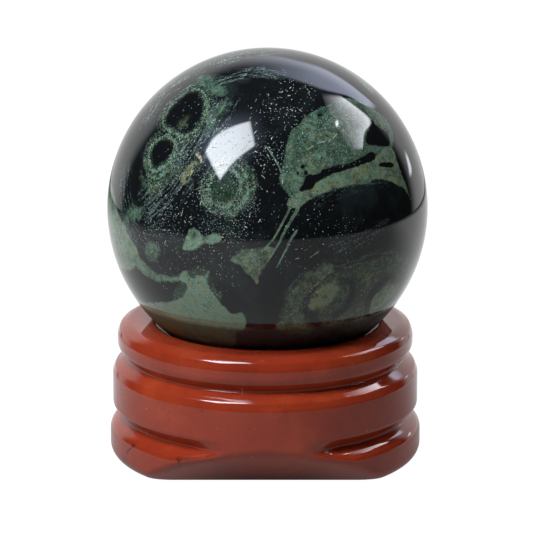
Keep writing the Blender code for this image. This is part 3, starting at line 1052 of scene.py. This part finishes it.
BLACK = (0.0048, 0.0056, 0.0064, 1.0)
SMOKE = (0.014, 0.020, 0.020, 1.0)
GREEN_DEEP = (0.022, 0.050, 0.034, 1.0)
GREEN_PALE = (0.165, 0.265, 0.180, 1.0)
OLIVE_DEEP = (0.030, 0.040, 0.018, 1.0)
OLIVE_PALE = (0.225, 0.235, 0.105, 1.0)
GRAIN_DARK = (0.010, 0.020, 0.014, 1.0)
DEW = (0.270, 0.370, 0.320, 1.0)
RING_DOT = (0.215, 0.295, 0.215, 1.0)
RING_GAP = (0.012, 0.020, 0.014, 1.0)
SWIRL_PALE = (0.120, 0.155, 0.150, 1.0)
CREAM = (0.46, 0.39, 0.23, 1.0)
SPECK = (0.32, 0.40, 0.38, 1.0)
FLECK_GOLD = (0.46, 0.36, 0.17, 1.0)
FLECK_WHITE = (0.72, 0.74, 0.67, 1.0)
# Painted shade: the dark brown tint that the colour is multiplied by low down by the stand's dish.
DISH_PAINTED_SHADE_TINT = (0.24, 0.24, 0.16, 1.0)

# The noises of the stone, each from 0 to 1, and the size in mm and the contrast of each.
Noises = namedtuple("Noises", "cloud grain fine hue")
NOISE_KINDS = Noises(cloud=(2.6, 1.8), grain=(0.75, 2.1), fine=(0.24, 2.6), hue=(1.4, 2.2))
SMOKE_KIND = (7.0, 2.2)
# Noises that push an edge aside, by their size and their whole swing, both in mm.
EYE_WOBBLE = ((1.6, 1.1), (0.4, 0.7))
PATCH_WOBBLE = ((1.8, 1.3), (0.45, 0.6))
VEIN_WOBBLE = (0.9, 0.5)

# A span gives the values of a field at which a mask starts and is whole, and after them, where
# they aren't 0 and 1, the mask's strengths there. Depths and distances are in mm.
SMOKE_SPAN = (0.45, 0.95)
SMOKE_GRAIN_SPAN = (0.55, 0.95, 0.0, 0.55)

# How much each noise changes the green's tone, and the last of them its hue.
GREEN_SWING = Noises(cloud=0.60, grain=0.55, fine=0.22, hue=1.0)
TONE_SPAN = (-0.25, 1.15)
WARM_SPAN = (-0.1, 1.1)
DEW_SPAN = (0.80, 0.97, 0.0, 0.55)
PINHOLE_GRAIN = 0.35
PINHOLE_SPAN = (0.26, 0.12, 0.0, 0.9)
BLACK_TONE_SPAN = (-0.35, -0.75)

# The swirls' streaks: how many to a mm across them and along them, and how strongly their haze
# and their broken pale lines show.
STREAKS_ACROSS, STREAKS_ALONG = 3.0, 0.32
STREAK_SPAN = (0.46, 0.62)
BROKEN_GRAIN = 0.5
BROKEN_SPAN = (0.80, 1.05)
HAZE_STRENGTH, LINE_STRENGTH = 0.32, 0.80

# The granules round an eye. They are denser in bands and on a crest just outside the dark zone.
BANDS_PER_MM, BAND_DRIFT = 2.4, 0.3
BANDING_SPAN = (0.42, 0.62)
RING_WOBBLE = 0.8
RING_SPAN = (-0.6, 0.9)
CREST_OUT = 0.42
CREST_SPAN = (0.45, 0.1)
GRANULES_LEAST, GRANULES_BANDED, GRANULES_ON_CREST = 0.28, 0.45, 0.20
GRANULE_SPAN = (0.78, 1.04)
RING_PALE, RING_PALE_CREST, RING_OLIVE = 0.15, 0.25, 0.32
# Over them come pale dots and dark gaps in rings, the first of them this far from the dark zone
# and each of the others one step further out.
RING_FIRST, RING_STEP, RING_CONTRAST = 0.62, 1.15, 0.20
RING_UNEVEN, RING_GRAIN = 0.25, 0.6
GAP_SPAN = (0.86, 0.46, 0.0, 0.80)
DOT_SPAN = (0.92, 1.22, 0.0, 0.75)

PATCH_SPAN = (-0.35, 0.35)
SLIT_WOBBLE, SLIT_SPAN = 0.5, (-0.08, 0.12)
DARK_WOBBLE, DARK_SPAN = 0.6, (-0.45, 0.40)
CORE_WOBBLE, CORE_SPAN = 0.8, (-0.30, 0.60)
CORE_GRAIN_SPAN = (0.25, 0.5, 0.5, 1.0)

VEIN_PALE, VEIN_OLIVE = 0.45, 0.2
CREAM_SPAN = (0.5, 1.0)
BLACK_VEIN_SPAN = (0.45, 0.05)
UNBROKEN_SPAN = (0.62, 0.55)
BROKEN_VEIN_SPAN = (0.25, 0.60)
# A vein bends more the wider it is, and ends soon past the end of its run.
BEND_SPAN = (0.0, 0.3, 0.25, 0.7)
VEIN_EDGE_SPAN = (1.30, 0.65)
VEIN_END_SPAN = (0.32, 0.18)

# Sizes in mm of the specks and of the short and long flecks: spacing, length and half width.
SPECK_SIZE = (0.30, 0.12, 0.06)
SHORT_SIZE = (0.55, 0.15, 0.055)
LONG_SIZE = (1.25, 0.42, 0.055)
LONG_OFFSET = (40.0, 0.0, 0.0)
LONG_SHARE = 0.42
SPECKS_LOST_IN_DARK = -0.85
SPECK_TONE_SPAN = (0.0, 1.0, 0.2, 1.0)
FLECK_TONE_SPAN = (0.0, 1.0, 0.3, 1.0)
FLECK_HUE_SPAN = (0.15, 0.4)
FLECK_STRENGTH = 0.85

# Low down, where the stand's dish keeps the light off, the colour is darkened and browned as painted
# shade, and the skin is duller.
DISH_PAINTED_SHADE_SPAN = (26.5, 25.4)
DISH_ROUGHNESS = 0.50
BALL_GLOSS, BALL_WAVE, BALL_PIT = 0.03, 0.002, 0.03

# What every layer of the ball's stone reads.
Skin = namedtuple("Skin", "place normal noises ragged")


def signed_noise(wiring, place, size, amplitude):
    """Noise of a size in mm, from minus to plus half an amplitude."""
    noise = wiring.add("TexNoise", {"Vector": wiring.scaled(place, 1 / size), "Scale": 1.0,
                                    "Detail": 3.0})
    return wiring.math("MULTIPLY", wiring.math("SUBTRACT", noise.outputs["Fac"], 0.5), amplitude)


def wobble(wiring, place, kinds):
    """How far an edge is pushed aside: the sum of a broad and a small noise."""
    broad, small = (signed_noise(wiring, place, *kind) for kind in kinds)
    return wiring.math("ADD", broad, small)


def green_stone(wiring, pale, olive, noises):
    """The patches' green, deep to pale by its own tone, the clouds and the grain, and green to
    olive by its own share and a noise of the hue, with dewy dots and dark pinholes where the
    fine grain is strongest and weakest. Far below zero its tone is black."""
    tone = pale
    for noise, swing in zip(noises[:3], GREEN_SWING[:3]):
        tone = wiring.math("MULTIPLY_ADD", wiring.math("SUBTRACT", noise, 0.5), swing, tone)
    tone = wiring.rise(tone, *TONE_SPAN)
    warm = wiring.rise(wiring.math("MULTIPLY_ADD", wiring.math("SUBTRACT", noises.hue, 0.5),
                                   GREEN_SWING.hue, olive), *WARM_SPAN)
    green = wiring.blend(tone, wiring.blend(warm, GREEN_DEEP, OLIVE_DEEP),
                         wiring.blend(warm, GREEN_PALE, OLIVE_PALE))
    green = wiring.blend(wiring.rise(noises.fine, *DEW_SPAN), green, DEW)
    pinholes = wiring.math("MULTIPLY_ADD", noises.grain, PINHOLE_GRAIN, noises.fine)
    green = wiring.blend(wiring.rise(pinholes, *PINHOLE_SPAN), green, GRAIN_DARK)
    return wiring.blend(wiring.rise(pale, *BLACK_TONE_SPAN), green, BLACK)


def vein_mask(wiring, name, meander):
    """Where the veins of one set run: the distance across, bent by the meander, is less than
    their half width, and the plain distance doesn't lie past an end."""
    across, reach, half = wiring.carried(name)
    gap = wiring.math("ABSOLUTE", wiring.math("ADD", across, wiring.math(
        "MULTIPLY", meander, wiring.rise(half, *BEND_SPAN))))
    inside = wiring.rise(wiring.math("DIVIDE", gap, half), *VEIN_EDGE_SPAN)
    return wiring.math("MULTIPLY", inside, wiring.rise(
        wiring.math("SUBTRACT", reach, half), *VEIN_END_SPAN))


def flecks_of(wiring, place, normal, size, share):
    """A scatter of specks or flecks of one size."""
    spacing, length, width = size
    return wiring.group(FLECKS, Place=place, Normal=normal, Spacing=spacing, Length=length,
                        Width=width, Share=share)


def ground_layer(wiring, skin):
    """Near black stone with smoky clouds."""
    size, contrast = SMOKE_KIND
    smoke = wiring.group(CLOUDS, Place=skin.place, Size=size, Contrast=contrast)["Cloud"]
    colour = wiring.blend(wiring.rise(smoke, *SMOKE_SPAN), BLACK, SMOKE)
    return wiring.blend(wiring.rise(skin.noises.fine, *SMOKE_GRAIN_SPAN), colour, SMOKE)


def swirl_layer(wiring, skin, colour):
    """Streaks along the swirls' runs: a faint haze, and dewy lines that the grain breaks up."""
    across, along, share = wiring.carried("swirl")
    lines = wiring.add("CombineXYZ", {0: wiring.math("MULTIPLY", across, STREAKS_ACROSS),
                                      1: wiring.math("MULTIPLY", along, STREAKS_ALONG),
                                      2: skin.noises.cloud})
    stripe = wiring.add("TexNoise", {"Vector": lines.outputs[0], "Scale": 1.0, "Detail": 4.0,
                                     "Distortion": 0.5}).outputs["Fac"]
    stripe = wiring.rise(stripe, *STREAK_SPAN)
    haze = wiring.math("MULTIPLY", wiring.math("MULTIPLY", stripe, share), HAZE_STRENGTH)
    colour = wiring.blend(haze, colour, SWIRL_PALE)
    broken = wiring.rise(wiring.math("MULTIPLY_ADD", skin.noises.grain, BROKEN_GRAIN,
                                     skin.noises.fine), *BROKEN_SPAN)
    shows = wiring.math("MULTIPLY", wiring.math("MULTIPLY", stripe, broken), share)
    return wiring.blend(wiring.math("MULTIPLY", shows, LINE_STRENGTH), colour, DEW)


def granule_layer(wiring, skin, colour, in_ring, dark_depth):
    """Green granules in the eyes' rings, denser in bands that follow the dark zone and on a
    crest round it."""
    around = wiring.add("CombineXYZ", {0: wiring.math("MULTIPLY", dark_depth, BANDS_PER_MM)})
    banding = wiring.add("TexNoise", {"Vector": wiring.vector(
        "ADD", around.outputs[0], wiring.scaled(skin.place, BAND_DRIFT)), "Scale": 1.0,
        "Detail": 3.0}).outputs["Fac"]
    banding = wiring.rise(banding, *BANDING_SPAN)
    crest = wiring.rise(wiring.math("ABSOLUTE", wiring.math("ADD", dark_depth, CREST_OUT)),
                        *CREST_SPAN)
    crest = wiring.math("MULTIPLY", crest, in_ring)
    amount = wiring.math("MULTIPLY", in_ring, wiring.math(
        "ADD", wiring.math("MULTIPLY_ADD", banding, GRANULES_BANDED, GRANULES_LEAST),
        wiring.math("MULTIPLY", crest, GRANULES_ON_CREST)))
    granules = wiring.rise(wiring.math("ADD", skin.noises.fine, amount), *GRANULE_SPAN)
    pale = wiring.math("MULTIPLY_ADD", crest, RING_PALE_CREST, RING_PALE)
    return wiring.blend(wiring.math("MULTIPLY", granules, in_ring), colour,
                        green_stone(wiring, pale, RING_OLIVE, skin.noises))


def ring_layer(wiring, skin, colour, in_ring, dark_depth):
    """Pale dots and dark gaps in rings round an eye: the grain, plus a cosine of the distance
    from the dark zone."""
    out = wiring.math("MULTIPLY_ADD", skin.ragged, RING_UNEVEN,
                      wiring.math("ADD", dark_depth, RING_FIRST))
    ringed = wiring.math("COSINE", wiring.math("MULTIPLY", out, 2 * np.pi / RING_STEP))
    granular = wiring.math("MULTIPLY_ADD", ringed, RING_CONTRAST, wiring.math(
        "MULTIPLY_ADD", skin.noises.grain, RING_GRAIN, skin.noises.fine))
    gaps = wiring.math("MULTIPLY", in_ring, wiring.rise(granular, *GAP_SPAN))
    colour = wiring.blend(gaps, colour, RING_GAP)
    dots = wiring.math("MULTIPLY", in_ring, wiring.rise(granular, *DOT_SPAN))
    return wiring.blend(dots, colour, RING_DOT)


def patch_layer(wiring, skin, colour):
    """The green patches, inside their own wobbly outlines."""
    depth, pale, olive = wiring.carried("patch")
    edge = wobble(wiring, skin.place, PATCH_WOBBLE)
    patch = wiring.rise(wiring.math("ADD", depth, edge), *PATCH_SPAN)
    return wiring.blend(patch, colour, green_stone(wiring, pale, olive, skin.noises))


def roughened(wiring, skin, depth, wobble_share, span):
    """A mask inside an outline whose edge the ragged noise roughens."""
    return wiring.rise(wiring.math("MULTIPLY_ADD", skin.ragged, wobble_share, depth), *span)


def core_layer(wiring, skin, colour, depth, pale, olive):
    """The green cores of the eyes and the other small spots laid over the patches."""
    core = roughened(wiring, skin, depth, CORE_WOBBLE, CORE_SPAN)
    core = wiring.math("MULTIPLY", core, wiring.rise(skin.noises.grain, *CORE_GRAIN_SPAN))
    return wiring.blend(core, colour, green_stone(wiring, pale, olive, skin.noises))


def vein_layer(wiring, skin, colour, vein_tone):
    """Veins from black through green to cream. The grain breaks up the paler ones."""
    meander = signed_noise(wiring, skin.place, *VEIN_WOBBLE)
    green = green_stone(wiring, VEIN_PALE, VEIN_OLIVE, skin.noises)
    shade = wiring.blend(wiring.rise(vein_tone, *CREAM_SPAN), green, CREAM)
    shade = wiring.blend(wiring.rise(vein_tone, *BLACK_VEIN_SPAN), shade, BLACK)
    whole = wiring.math("MAXIMUM", wiring.rise(vein_tone, *UNBROKEN_SPAN),
                        wiring.rise(skin.noises.grain, *BROKEN_VEIN_SPAN))
    vein = wiring.math("MULTIPLY", vein_mask(wiring, "vein", meander), whole)
    colour = wiring.blend(vein, colour, shade)
    return wiring.blend(vein_mask(wiring, "branch", meander), colour, green)


def speck_layer(wiring, skin, colour, share, dark):
    """Fine pale specks, few of them in the dark zones."""
    kept = wiring.math("MULTIPLY_ADD", dark, SPECKS_LOST_IN_DARK, 1.0)
    speck = flecks_of(wiring, skin.place, skin.normal, SPECK_SIZE,
                      wiring.math("MULTIPLY", share, kept))
    tone = wiring.rise(speck["Tone"], *SPECK_TONE_SPAN)
    return wiring.blend(wiring.math("MULTIPLY", speck["Fleck"], tone), colour, SPECK)


def fleck_layer(wiring, skin, colour, share):
    """Short and long flecks from gold to white, and the mask of both."""
    short = flecks_of(wiring, skin.place, skin.normal, SHORT_SIZE, share)
    long = flecks_of(wiring, wiring.vector("ADD", skin.place, LONG_OFFSET), skin.normal,
                     LONG_SIZE, wiring.math("MULTIPLY", share, LONG_SHARE))
    tone = wiring.rise(short["Tone"], *FLECK_TONE_SPAN)
    flecks = wiring.math("MAXIMUM", wiring.math("MULTIPLY", short["Fleck"], tone), long["Fleck"])
    shade = wiring.blend(wiring.rise(short["Tone"], *FLECK_HUE_SPAN), FLECK_GOLD, FLECK_WHITE)
    return wiring.blend(wiring.math("MULTIPLY", flecks, FLECK_STRENGTH), colour, shade), flecks


def make_kambaba():
    """Near black stone with what the ball's skin carries laid over it, from the swirls and the
    eyes' rings up to the veins, specks and flecks, with a painted shade low down by the stand's
    dish."""
    material, wiring, shader, place, normal = new_stone("polished_kambaba_jasper")
    noises = Noises(*(wiring.group(CLOUDS, Place=place, Size=size, Contrast=contrast)["Cloud"]
                      for size, contrast in NOISE_KINDS))
    skin = Skin(place, normal, noises, wobble(wiring, place, EYE_WOBBLE))
    ring_depth, dark_depth, core_depth = wiring.carried("eye")
    core_pale, core_olive, vein_tone = wiring.carried("tint")
    speck_share, fleck_share, slit_depth = wiring.carried("specks")
    in_ring = roughened(wiring, skin, ring_depth, RING_WOBBLE, RING_SPAN)
    slit = roughened(wiring, skin, slit_depth, SLIT_WOBBLE, SLIT_SPAN)
    dark = roughened(wiring, skin, dark_depth, DARK_WOBBLE, DARK_SPAN)

    colour = swirl_layer(wiring, skin, ground_layer(wiring, skin))
    colour = granule_layer(wiring, skin, colour, in_ring, dark_depth)
    colour = patch_layer(wiring, skin, colour)
    colour = ring_layer(wiring, skin, colour, in_ring, dark_depth)
    colour = wiring.blend(slit, colour, BLACK)
    colour = wiring.blend(dark, colour, BLACK)
    colour = core_layer(wiring, skin, colour, core_depth, core_pale, core_olive)
    colour = vein_layer(wiring, skin, colour, vein_tone)
    colour = speck_layer(wiring, skin, colour, speck_share, dark)
    colour, flecks = fleck_layer(wiring, skin, colour, fleck_share)

    # Painted shade: low down by the dish the colour is multiplied by a dark brown tint, and the
    # roughness rises.
    low = wiring.rise(wiring.split(place)[2], *DISH_PAINTED_SHADE_SPAN)
    colour = wiring.add("Mix", {0: low, 6: colour, 7: DISH_PAINTED_SHADE_TINT}, data_type="RGBA",
                        blend_type="MULTIPLY").outputs[2]
    gloss = wiring.math("MULTIPLY_ADD", low, DISH_ROUGHNESS, BALL_GLOSS)
    polish = wiring.group(POLISH, Place=place, Fleck=flecks, Gloss=gloss, Wave=BALL_WAVE,
                          Pit=BALL_PIT)
    finish_stone(wiring, shader, colour, polish)
    return material


# The red jasper

RED = (0.310, 0.034, 0.0120, 1.0)
RED_DARK = (0.205, 0.022, 0.009, 1.0)
RED_WARM = (0.430, 0.062, 0.019, 1.0)
RED_FLECK_DARK = (0.05, 0.010, 0.006, 1.0)
RED_FLECK_PALE = (0.50, 0.22, 0.14, 1.0)
RED_BRUISE = (0.120, 0.045, 0.036, 1.0)
# Size in mm and contrast of the clouds and of the mottling.
RED_CLOUD, RED_MOTTLE = (9.0, 1.7), (1.8, 1.4)
WARM_CLOUD_SPAN = (0.50, 0.95, 0.0, 0.5)
DARK_CLOUD_SPAN = (0.45, 0.05, 0.0, 0.5)
MOTTLE_SPAN = (0.55, 0.95, 0.0, 0.3)
# The stand's specks: spacing, length and half width in mm, and how many and how strong they are.
RED_SPECK_SIZE = (1.5, 0.20, 0.09)
RED_SPECK_SHARE, RED_SPECK_STRENGTH = 0.35, 0.55
PALE_SPECK_SPAN = (0.84, 0.86)
BRUISE_SPAN = (0.3, 0.6)
CRACK_STRENGTH = 0.85
STAND_GLOSS, STAND_WAVE, STAND_PIT, STAND_SPECK_ROUGHNESS = 0.04, 0.02, 0.004, 0.15


def make_red_jasper():
    """Dense brick red stone with soft tonal clouds, dark specks and a few pale ones, greyish
    bruises and thin cracks."""
    material, wiring, shader, place, normal = new_stone("polished_red_jasper")
    cloud, mottle = (wiring.group(CLOUDS, Place=place, Size=size, Contrast=contrast)["Cloud"]
                     for size, contrast in (RED_CLOUD, RED_MOTTLE))
    colour = wiring.blend(wiring.rise(cloud, *WARM_CLOUD_SPAN), RED, RED_WARM)
    colour = wiring.blend(wiring.rise(cloud, *DARK_CLOUD_SPAN), colour, RED_DARK)
    colour = wiring.blend(wiring.rise(mottle, *MOTTLE_SPAN), colour, RED_DARK)
    specks = flecks_of(wiring, place, normal, RED_SPECK_SIZE, RED_SPECK_SHARE)
    shade = wiring.blend(wiring.rise(specks["Tone"], *PALE_SPECK_SPAN), RED_FLECK_DARK,
                         RED_FLECK_PALE)
    colour = wiring.blend(wiring.math("MULTIPLY", specks["Fleck"], RED_SPECK_STRENGTH), colour,
                          shade)
    crack_tone, bruise, _ = wiring.carried("marks")
    bruised = wiring.math("MULTIPLY", bruise, wiring.rise(mottle, *BRUISE_SPAN))
    colour = wiring.blend(bruised, colour, RED_BRUISE)
    crack = vein_mask(wiring, "crack", signed_noise(wiring, place, *VEIN_WOBBLE))
    colour = wiring.blend(wiring.math("MULTIPLY", crack, CRACK_STRENGTH), colour, wiring.blend(
        crack_tone, RED_FLECK_DARK, RED_FLECK_PALE))
    polish = wiring.group(POLISH, Place=place, Fleck=specks["Fleck"], Gloss=STAND_GLOSS,
                          Fleck_roughness=STAND_SPECK_ROUGHNESS, Wave=STAND_WAVE, Pit=STAND_PIT)
    finish_stone(wiring, shader, colour, polish)
    return material


# The studio

FLOOR_RADIUS = 275 * MM
FLOOR_MIDDLE = np.array((0.0, -35 * MM))
FLOOR_RINGS = 90
FLOOR_TURNS = 120
FLOOR_ALBEDO = 0.06
FLOOR_SEEN_GLOW = 1.0
# What the floor gives to the stone: more on the left than on the right, most behind, little
# under the stand, and nothing past the table's edge, which is softer on the left.
FLOOR_LEFT_GLOW = 0.52
FLOOR_RIGHT_GLOW = 0.30
FLOOR_BACK_GLOW = 0.85
FLOOR_LEFT, FLOOR_RIGHT = -90 * MM, 60 * MM
FLOOR_FRONT, FLOOR_BACK = -10 * MM, 70 * MM
FLOOR_SHADE_INSIDE, FLOOR_SHADE_OUTSIDE = 10 * MM, 30 * MM
FLOOR_EDGE = 40 * MM
FLOOR_LEFT_EDGE = 120 * MM
# How far off the panels hang. Those that overlap in the mirror hang at different distances.
PANEL_REACH = 420 * MM
PANEL_REACH_FAR = PANEL_REACH * 1.1
PANEL_REACH_NEAR = PANEL_REACH * 0.9
PANEL_STEPS = 32
PANEL_FADE = 1.5
# The white wall behind and the dark room round it. By a direction's slope to the side and up,
# each over its share backwards, the wall ends softly between these.
BACKDROP_LIGHT = 0.82
DARK_LIGHT = 0.012
WALL_SIDE_END = (1.55, 0.95)
WALL_TOP_END = (1.00, 0.55)
WALL_BACK_START = (0.0, 0.1)
LEAST_BACK = 0.01
WHITE = (1.0, 1.0, 1.0, 1.0)

# A light panel: how bright and of what colour it is, what share of it its soft ends and sides
# take, how far off it hangs, where its two long edges are mirrored in the ball, in the
# photograph's frame, and how much of its light is left at its first edge and at both edges'
# starts.
Panel = namedtuple("Panel", "strength colour ends sides reach first second at_first at_start",
                   defaults=(1.0, 1.0))
PANELS = {
    "panel_front_left": Panel(
        18.5, (0.90, 0.95, 1.0), (0.05, 0.05), 0.08, PANEL_REACH,
        ((251, 120), (231, 126), (214, 136), (204, 152)),
        ((256, 146), (241, 157), (230, 168), (220, 182)), at_start=0.75),
    "panel_glow": Panel(
        3.4, (0.60, 0.74, 1.0), (0.48, 0.48), 0.48, PANEL_REACH_FAR,
        ((264, 98), (222, 112), (194, 130), (186, 158)),
        ((272, 152), (248, 168), (236, 184), (222, 200))),
    "panel_right": Panel(
        9.5, (0.93, 0.92, 1.0), (0.10, 0.05), 0.08, PANEL_REACH,
        ((320, 92), (327, 110), (337, 130), (352, 151)),
        ((340, 95), (371, 119), (365, 133), (363, 150)), at_first=0.08),
    "panel_behind": Panel(
        3.5, (0.70, 0.76, 1.0), (0.76, 0.05), 0.16, PANEL_REACH_FAR,
        ((225, 58), (268, 54), (300, 60), (323, 67), (344, 79), (363, 94), (377, 107)),
        ((230, 73), (272, 76), (302, 84), (322, 91), (335, 94), (348, 97), (361, 104),
         (375, 110)), at_first=0.70),
    "panel_sliver": Panel(
        4.0, (0.80, 0.84, 1.0), (0.40, 0.25), 0.35, PANEL_REACH,
        ((405, 148), (409, 158), (412, 168), (412, 178)),
        ((403, 149), (406, 160), (408, 170), (409, 179))),
    "panel_lamp": Panel(
        14.0, (0.95, 0.97, 1.0), (0.35, 0.35), 0.35, PANEL_REACH_NEAR,
        ((335, 119), (335, 128)),
        ((339, 119), (339, 128))),
}


def mirrored_place(points, reach):
    """Where the camera's rays to these places of the photograph end up, at a distance from the
    ball's centre, after the ball has mirrored them: ray less twice its share along the
    normal."""
    normal = seen_direction(points)
    skin = normal * BALL_RADIUS
    ray = BALL_CENTRE + skin - CAMERA_PLACE
    ray /= np.linalg.norm(ray, axis=1, keepdims=True)
    mirrored = ray - 2 * (ray * normal).sum(1, keepdims=True) * normal
    slant = (skin * mirrored).sum(1, keepdims=True)
    length = -slant + np.sqrt(slant ** 2 - BALL_RADIUS ** 2 + reach ** 2)
    return BALL_CENTRE + skin + mirrored * length


def resampled(points, count):
    """Evenly spaced stops along the smooth curve through points."""
    curve = rounded_curve(points, False)
    along = np.concatenate(((0.0,), np.cumsum(np.hypot(*np.diff(curve, axis=0).T))))
    stops = np.linspace(0.0, along[-1], count)
    return np.stack([np.interp(stops, along, curve[:, axis]) for axis in range(2)], axis=1)


def glow_material(name, strength, colour):
    """A light panel's own light, which its edge attribute fades, added to what lies behind."""
    material = bpy.data.materials.new(name)
    material.use_nodes = True
    wiring = Wiring(material.node_tree)
    wiring.tree.nodes.remove(wiring.tree.nodes["Principled BSDF"])
    edge = wiring.add("Attribute", attribute_name="edge").outputs["Fac"]
    glow = wiring.add("Emission", {"Color": (*colour, 1.0),
                                   "Strength": wiring.math("MULTIPLY", edge, strength)})
    clear = wiring.add("BsdfTransparent").outputs[0]
    both = wiring.add("AddShader", enumerate((glow.outputs[0], clear))).outputs[0]
    wiring.wire(both, wiring.tree.nodes["Material Output"].inputs["Surface"])
    return material


def make_panel(name, panel):
    """A light panel: the surface between its two edges, both carried from the photograph to
    the panels' distance. Its light falls off smoothly towards its rim."""
    share = np.linspace(0.0, 1.0, PANEL_STEPS + 1)
    first, second = (resampled(edge, len(share))[:, None] for edge in (panel.first, panel.second))
    places = first * (1 - share[:, None]) + second * share[:, None]
    points = mirrored_place(places.reshape(-1, 2), panel.reach)
    number = np.arange(len(points)).reshape(PANEL_STEPS + 1, -1)
    quads = np.stack((number[:-1, :-1], number[1:, :-1], number[1:, 1:], number[:-1, 1:]),
                     axis=2).reshape(-1, 4)
    mesh = bpy.data.meshes.new(name)
    mesh.from_pydata(points.tolist(), [], quads.tolist())
    sides = smooth_share(np.minimum(share, 1 - share), 0.0, panel.sides)
    ends = smooth_share(share, 0.0, panel.ends[0]) * smooth_share(1 - share, 0.0, panel.ends[1])
    across = panel.at_first + (1 - panel.at_first) * share ** PANEL_FADE
    along = panel.at_start + (1 - panel.at_start) * share
    edge = (ends * along)[:, None] * sides * across
    mesh.attributes.new("edge", "FLOAT", "POINT").data.foreach_set("value", edge.ravel())
    mesh.materials.append(glow_material(name, panel.strength, panel.colour))
    light = bpy.data.objects.new(name, mesh)
    bpy.context.scene.collection.objects.link(light)
    light.visible_camera = False


def make_table_top():
    """Matt white, with a glow of its own that is even to the camera."""
    material = bpy.data.materials.new("white_table")
    material.use_nodes = True
    wiring = Wiring(material.node_tree)
    shader = material.node_tree.nodes["Principled BSDF"]
    shader.inputs["Base Color"].default_value = (FLOOR_ALBEDO,) * 3 + (1.0,)
    shader.inputs["Roughness"].default_value = 1.0
    shader.inputs["Specular IOR Level"].default_value = 0.0
    shader.inputs["Emission Color"].default_value = WHITE
    glow = wiring.add("Attribute", attribute_name="glow").outputs["Fac"]
    seen = wiring.add("LightPath").outputs["Is Camera Ray"]
    strength = wiring.add("Mix", {0: seen, 2: glow, 3: FLOOR_SEEN_GLOW}).outputs[0]
    wiring.wire(strength, shader.inputs["Emission Strength"])
    return material


def make_floor():
    """A round white table top, which partly glows so that shadows on it stay pale."""
    radius = np.linspace(0.0, FLOOR_RADIUS, FLOOR_RINGS)[1:, None]
    angle = np.arange(FLOOR_TURNS) * 2 * np.pi / FLOOR_TURNS
    rings = np.stack((FLOOR_MIDDLE[0] + radius * np.cos(angle),
                      FLOOR_MIDDLE[1] + radius * np.sin(angle), 0 * radius * angle), axis=2)
    points = np.concatenate((rings.reshape(-1, 3), ((*FLOOR_MIDDLE, 0.0),)))
    number = np.arange(len(points) - 1).reshape(-1, FLOOR_TURNS)
    beside = np.roll(number, -1, axis=1)
    quads = np.stack((number[:-1], number[1:], beside[1:], beside[:-1]), axis=2).reshape(-1, 4)
    fan = np.stack((number[0], beside[0], np.full(FLOOR_TURNS, len(points) - 1)), axis=1)
    mesh = bpy.data.meshes.new("floor")
    mesh.from_pydata(points.tolist(), [], quads.tolist() + fan.tolist())
    out = np.hypot(points[:, 0], points[:, 1])
    rim = FLOOR_RADIUS - np.hypot(*(points[:, :2] - FLOOR_MIDDLE).T)
    left = smooth_share(-points[:, 0], -FLOOR_RIGHT, -FLOOR_LEFT)
    back = smooth_share(points[:, 1], FLOOR_FRONT, FLOOR_BACK)
    front_glow = FLOOR_RIGHT_GLOW + (FLOOR_LEFT_GLOW - FLOOR_RIGHT_GLOW) * left
    edge = FLOOR_EDGE + (FLOOR_LEFT_EDGE - FLOOR_EDGE) * left
    glow = ((front_glow + (FLOOR_BACK_GLOW - front_glow) * back)
            * smooth_share(out, FLOOR_SHADE_INSIDE, FLOOR_SHADE_OUTSIDE)
            * smooth_share(rim / edge, 0.0, 1.0))
    mesh.attributes.new("glow", "FLOAT", "POINT").data.foreach_set("value", glow)
    mesh.materials.append(make_table_top())
    floor = bpy.data.objects.new("floor", mesh)
    bpy.context.scene.collection.objects.link(floor)


def make_surroundings():
    """Plain white to the camera. To everything else a dark room with a white wall behind."""
    world = bpy.data.worlds.new("studio")
    bpy.context.scene.world = world
    world.use_nodes = True
    wiring = Wiring(world.node_tree)
    side, back, up = wiring.split(wiring.add("TexCoord").outputs["Generated"])
    away = wiring.math("MAXIMUM", back, LEAST_BACK)
    wide = wiring.rise(wiring.math("DIVIDE", wiring.math("ABSOLUTE", side), away), *WALL_SIDE_END)
    low = wiring.rise(wiring.math("DIVIDE", up, away), *WALL_TOP_END)
    wall = wiring.math("MULTIPLY", wiring.math("MULTIPLY", wide, low),
                       wiring.rise(back, *WALL_BACK_START))
    room = wiring.math("MULTIPLY_ADD", wall, BACKDROP_LIGHT - DARK_LIGHT, DARK_LIGHT)
    seen = wiring.add("LightPath").outputs["Is Camera Ray"]
    strength = wiring.math("MAXIMUM", seen, room)
    wiring.wire(strength, world.node_tree.nodes["Background"].inputs["Strength"])
    world.node_tree.nodes["Background"].inputs["Color"].default_value = WHITE


def make_camera():
    """The photograph's viewpoint. It aims so that the ball's centre falls where the photograph
    has it, a little above and right of the frame's middle."""
    middle = PHOTO_SIZE / 2
    pixel = CAMERA_DISTANCE / FOCAL_PIXELS
    aim = (BALL_CENTRE + RIGHT * (middle - PHOTO_BALL_X) * pixel
           + UP * (PHOTO_BALL_Y - middle) * pixel)
    lens = bpy.data.cameras.new("camera")
    lens.sensor_width = SENSOR_WIDTH
    lens.lens = SENSOR_WIDTH * FOCAL_PIXELS / PHOTO_SIZE
    lens.clip_start, lens.clip_end = CAMERA_CLIP
    camera = bpy.data.objects.new("camera", lens)
    bpy.context.scene.collection.objects.link(camera)
    camera.location = CAMERA_PLACE
    camera.rotation_euler = Vector(aim - CAMERA_PLACE).to_track_quat("-Z", "Y").to_euler()
    bpy.context.scene.camera = camera


make_camera()
make_surroundings()
make_floor()
for panel_name, panel_kind in PANELS.items():
    make_panel(panel_name, panel_kind)
make_stand(make_red_jasper())
make_ball(make_kambaba())
bpy.context.scene.view_settings.view_transform = "Standard"
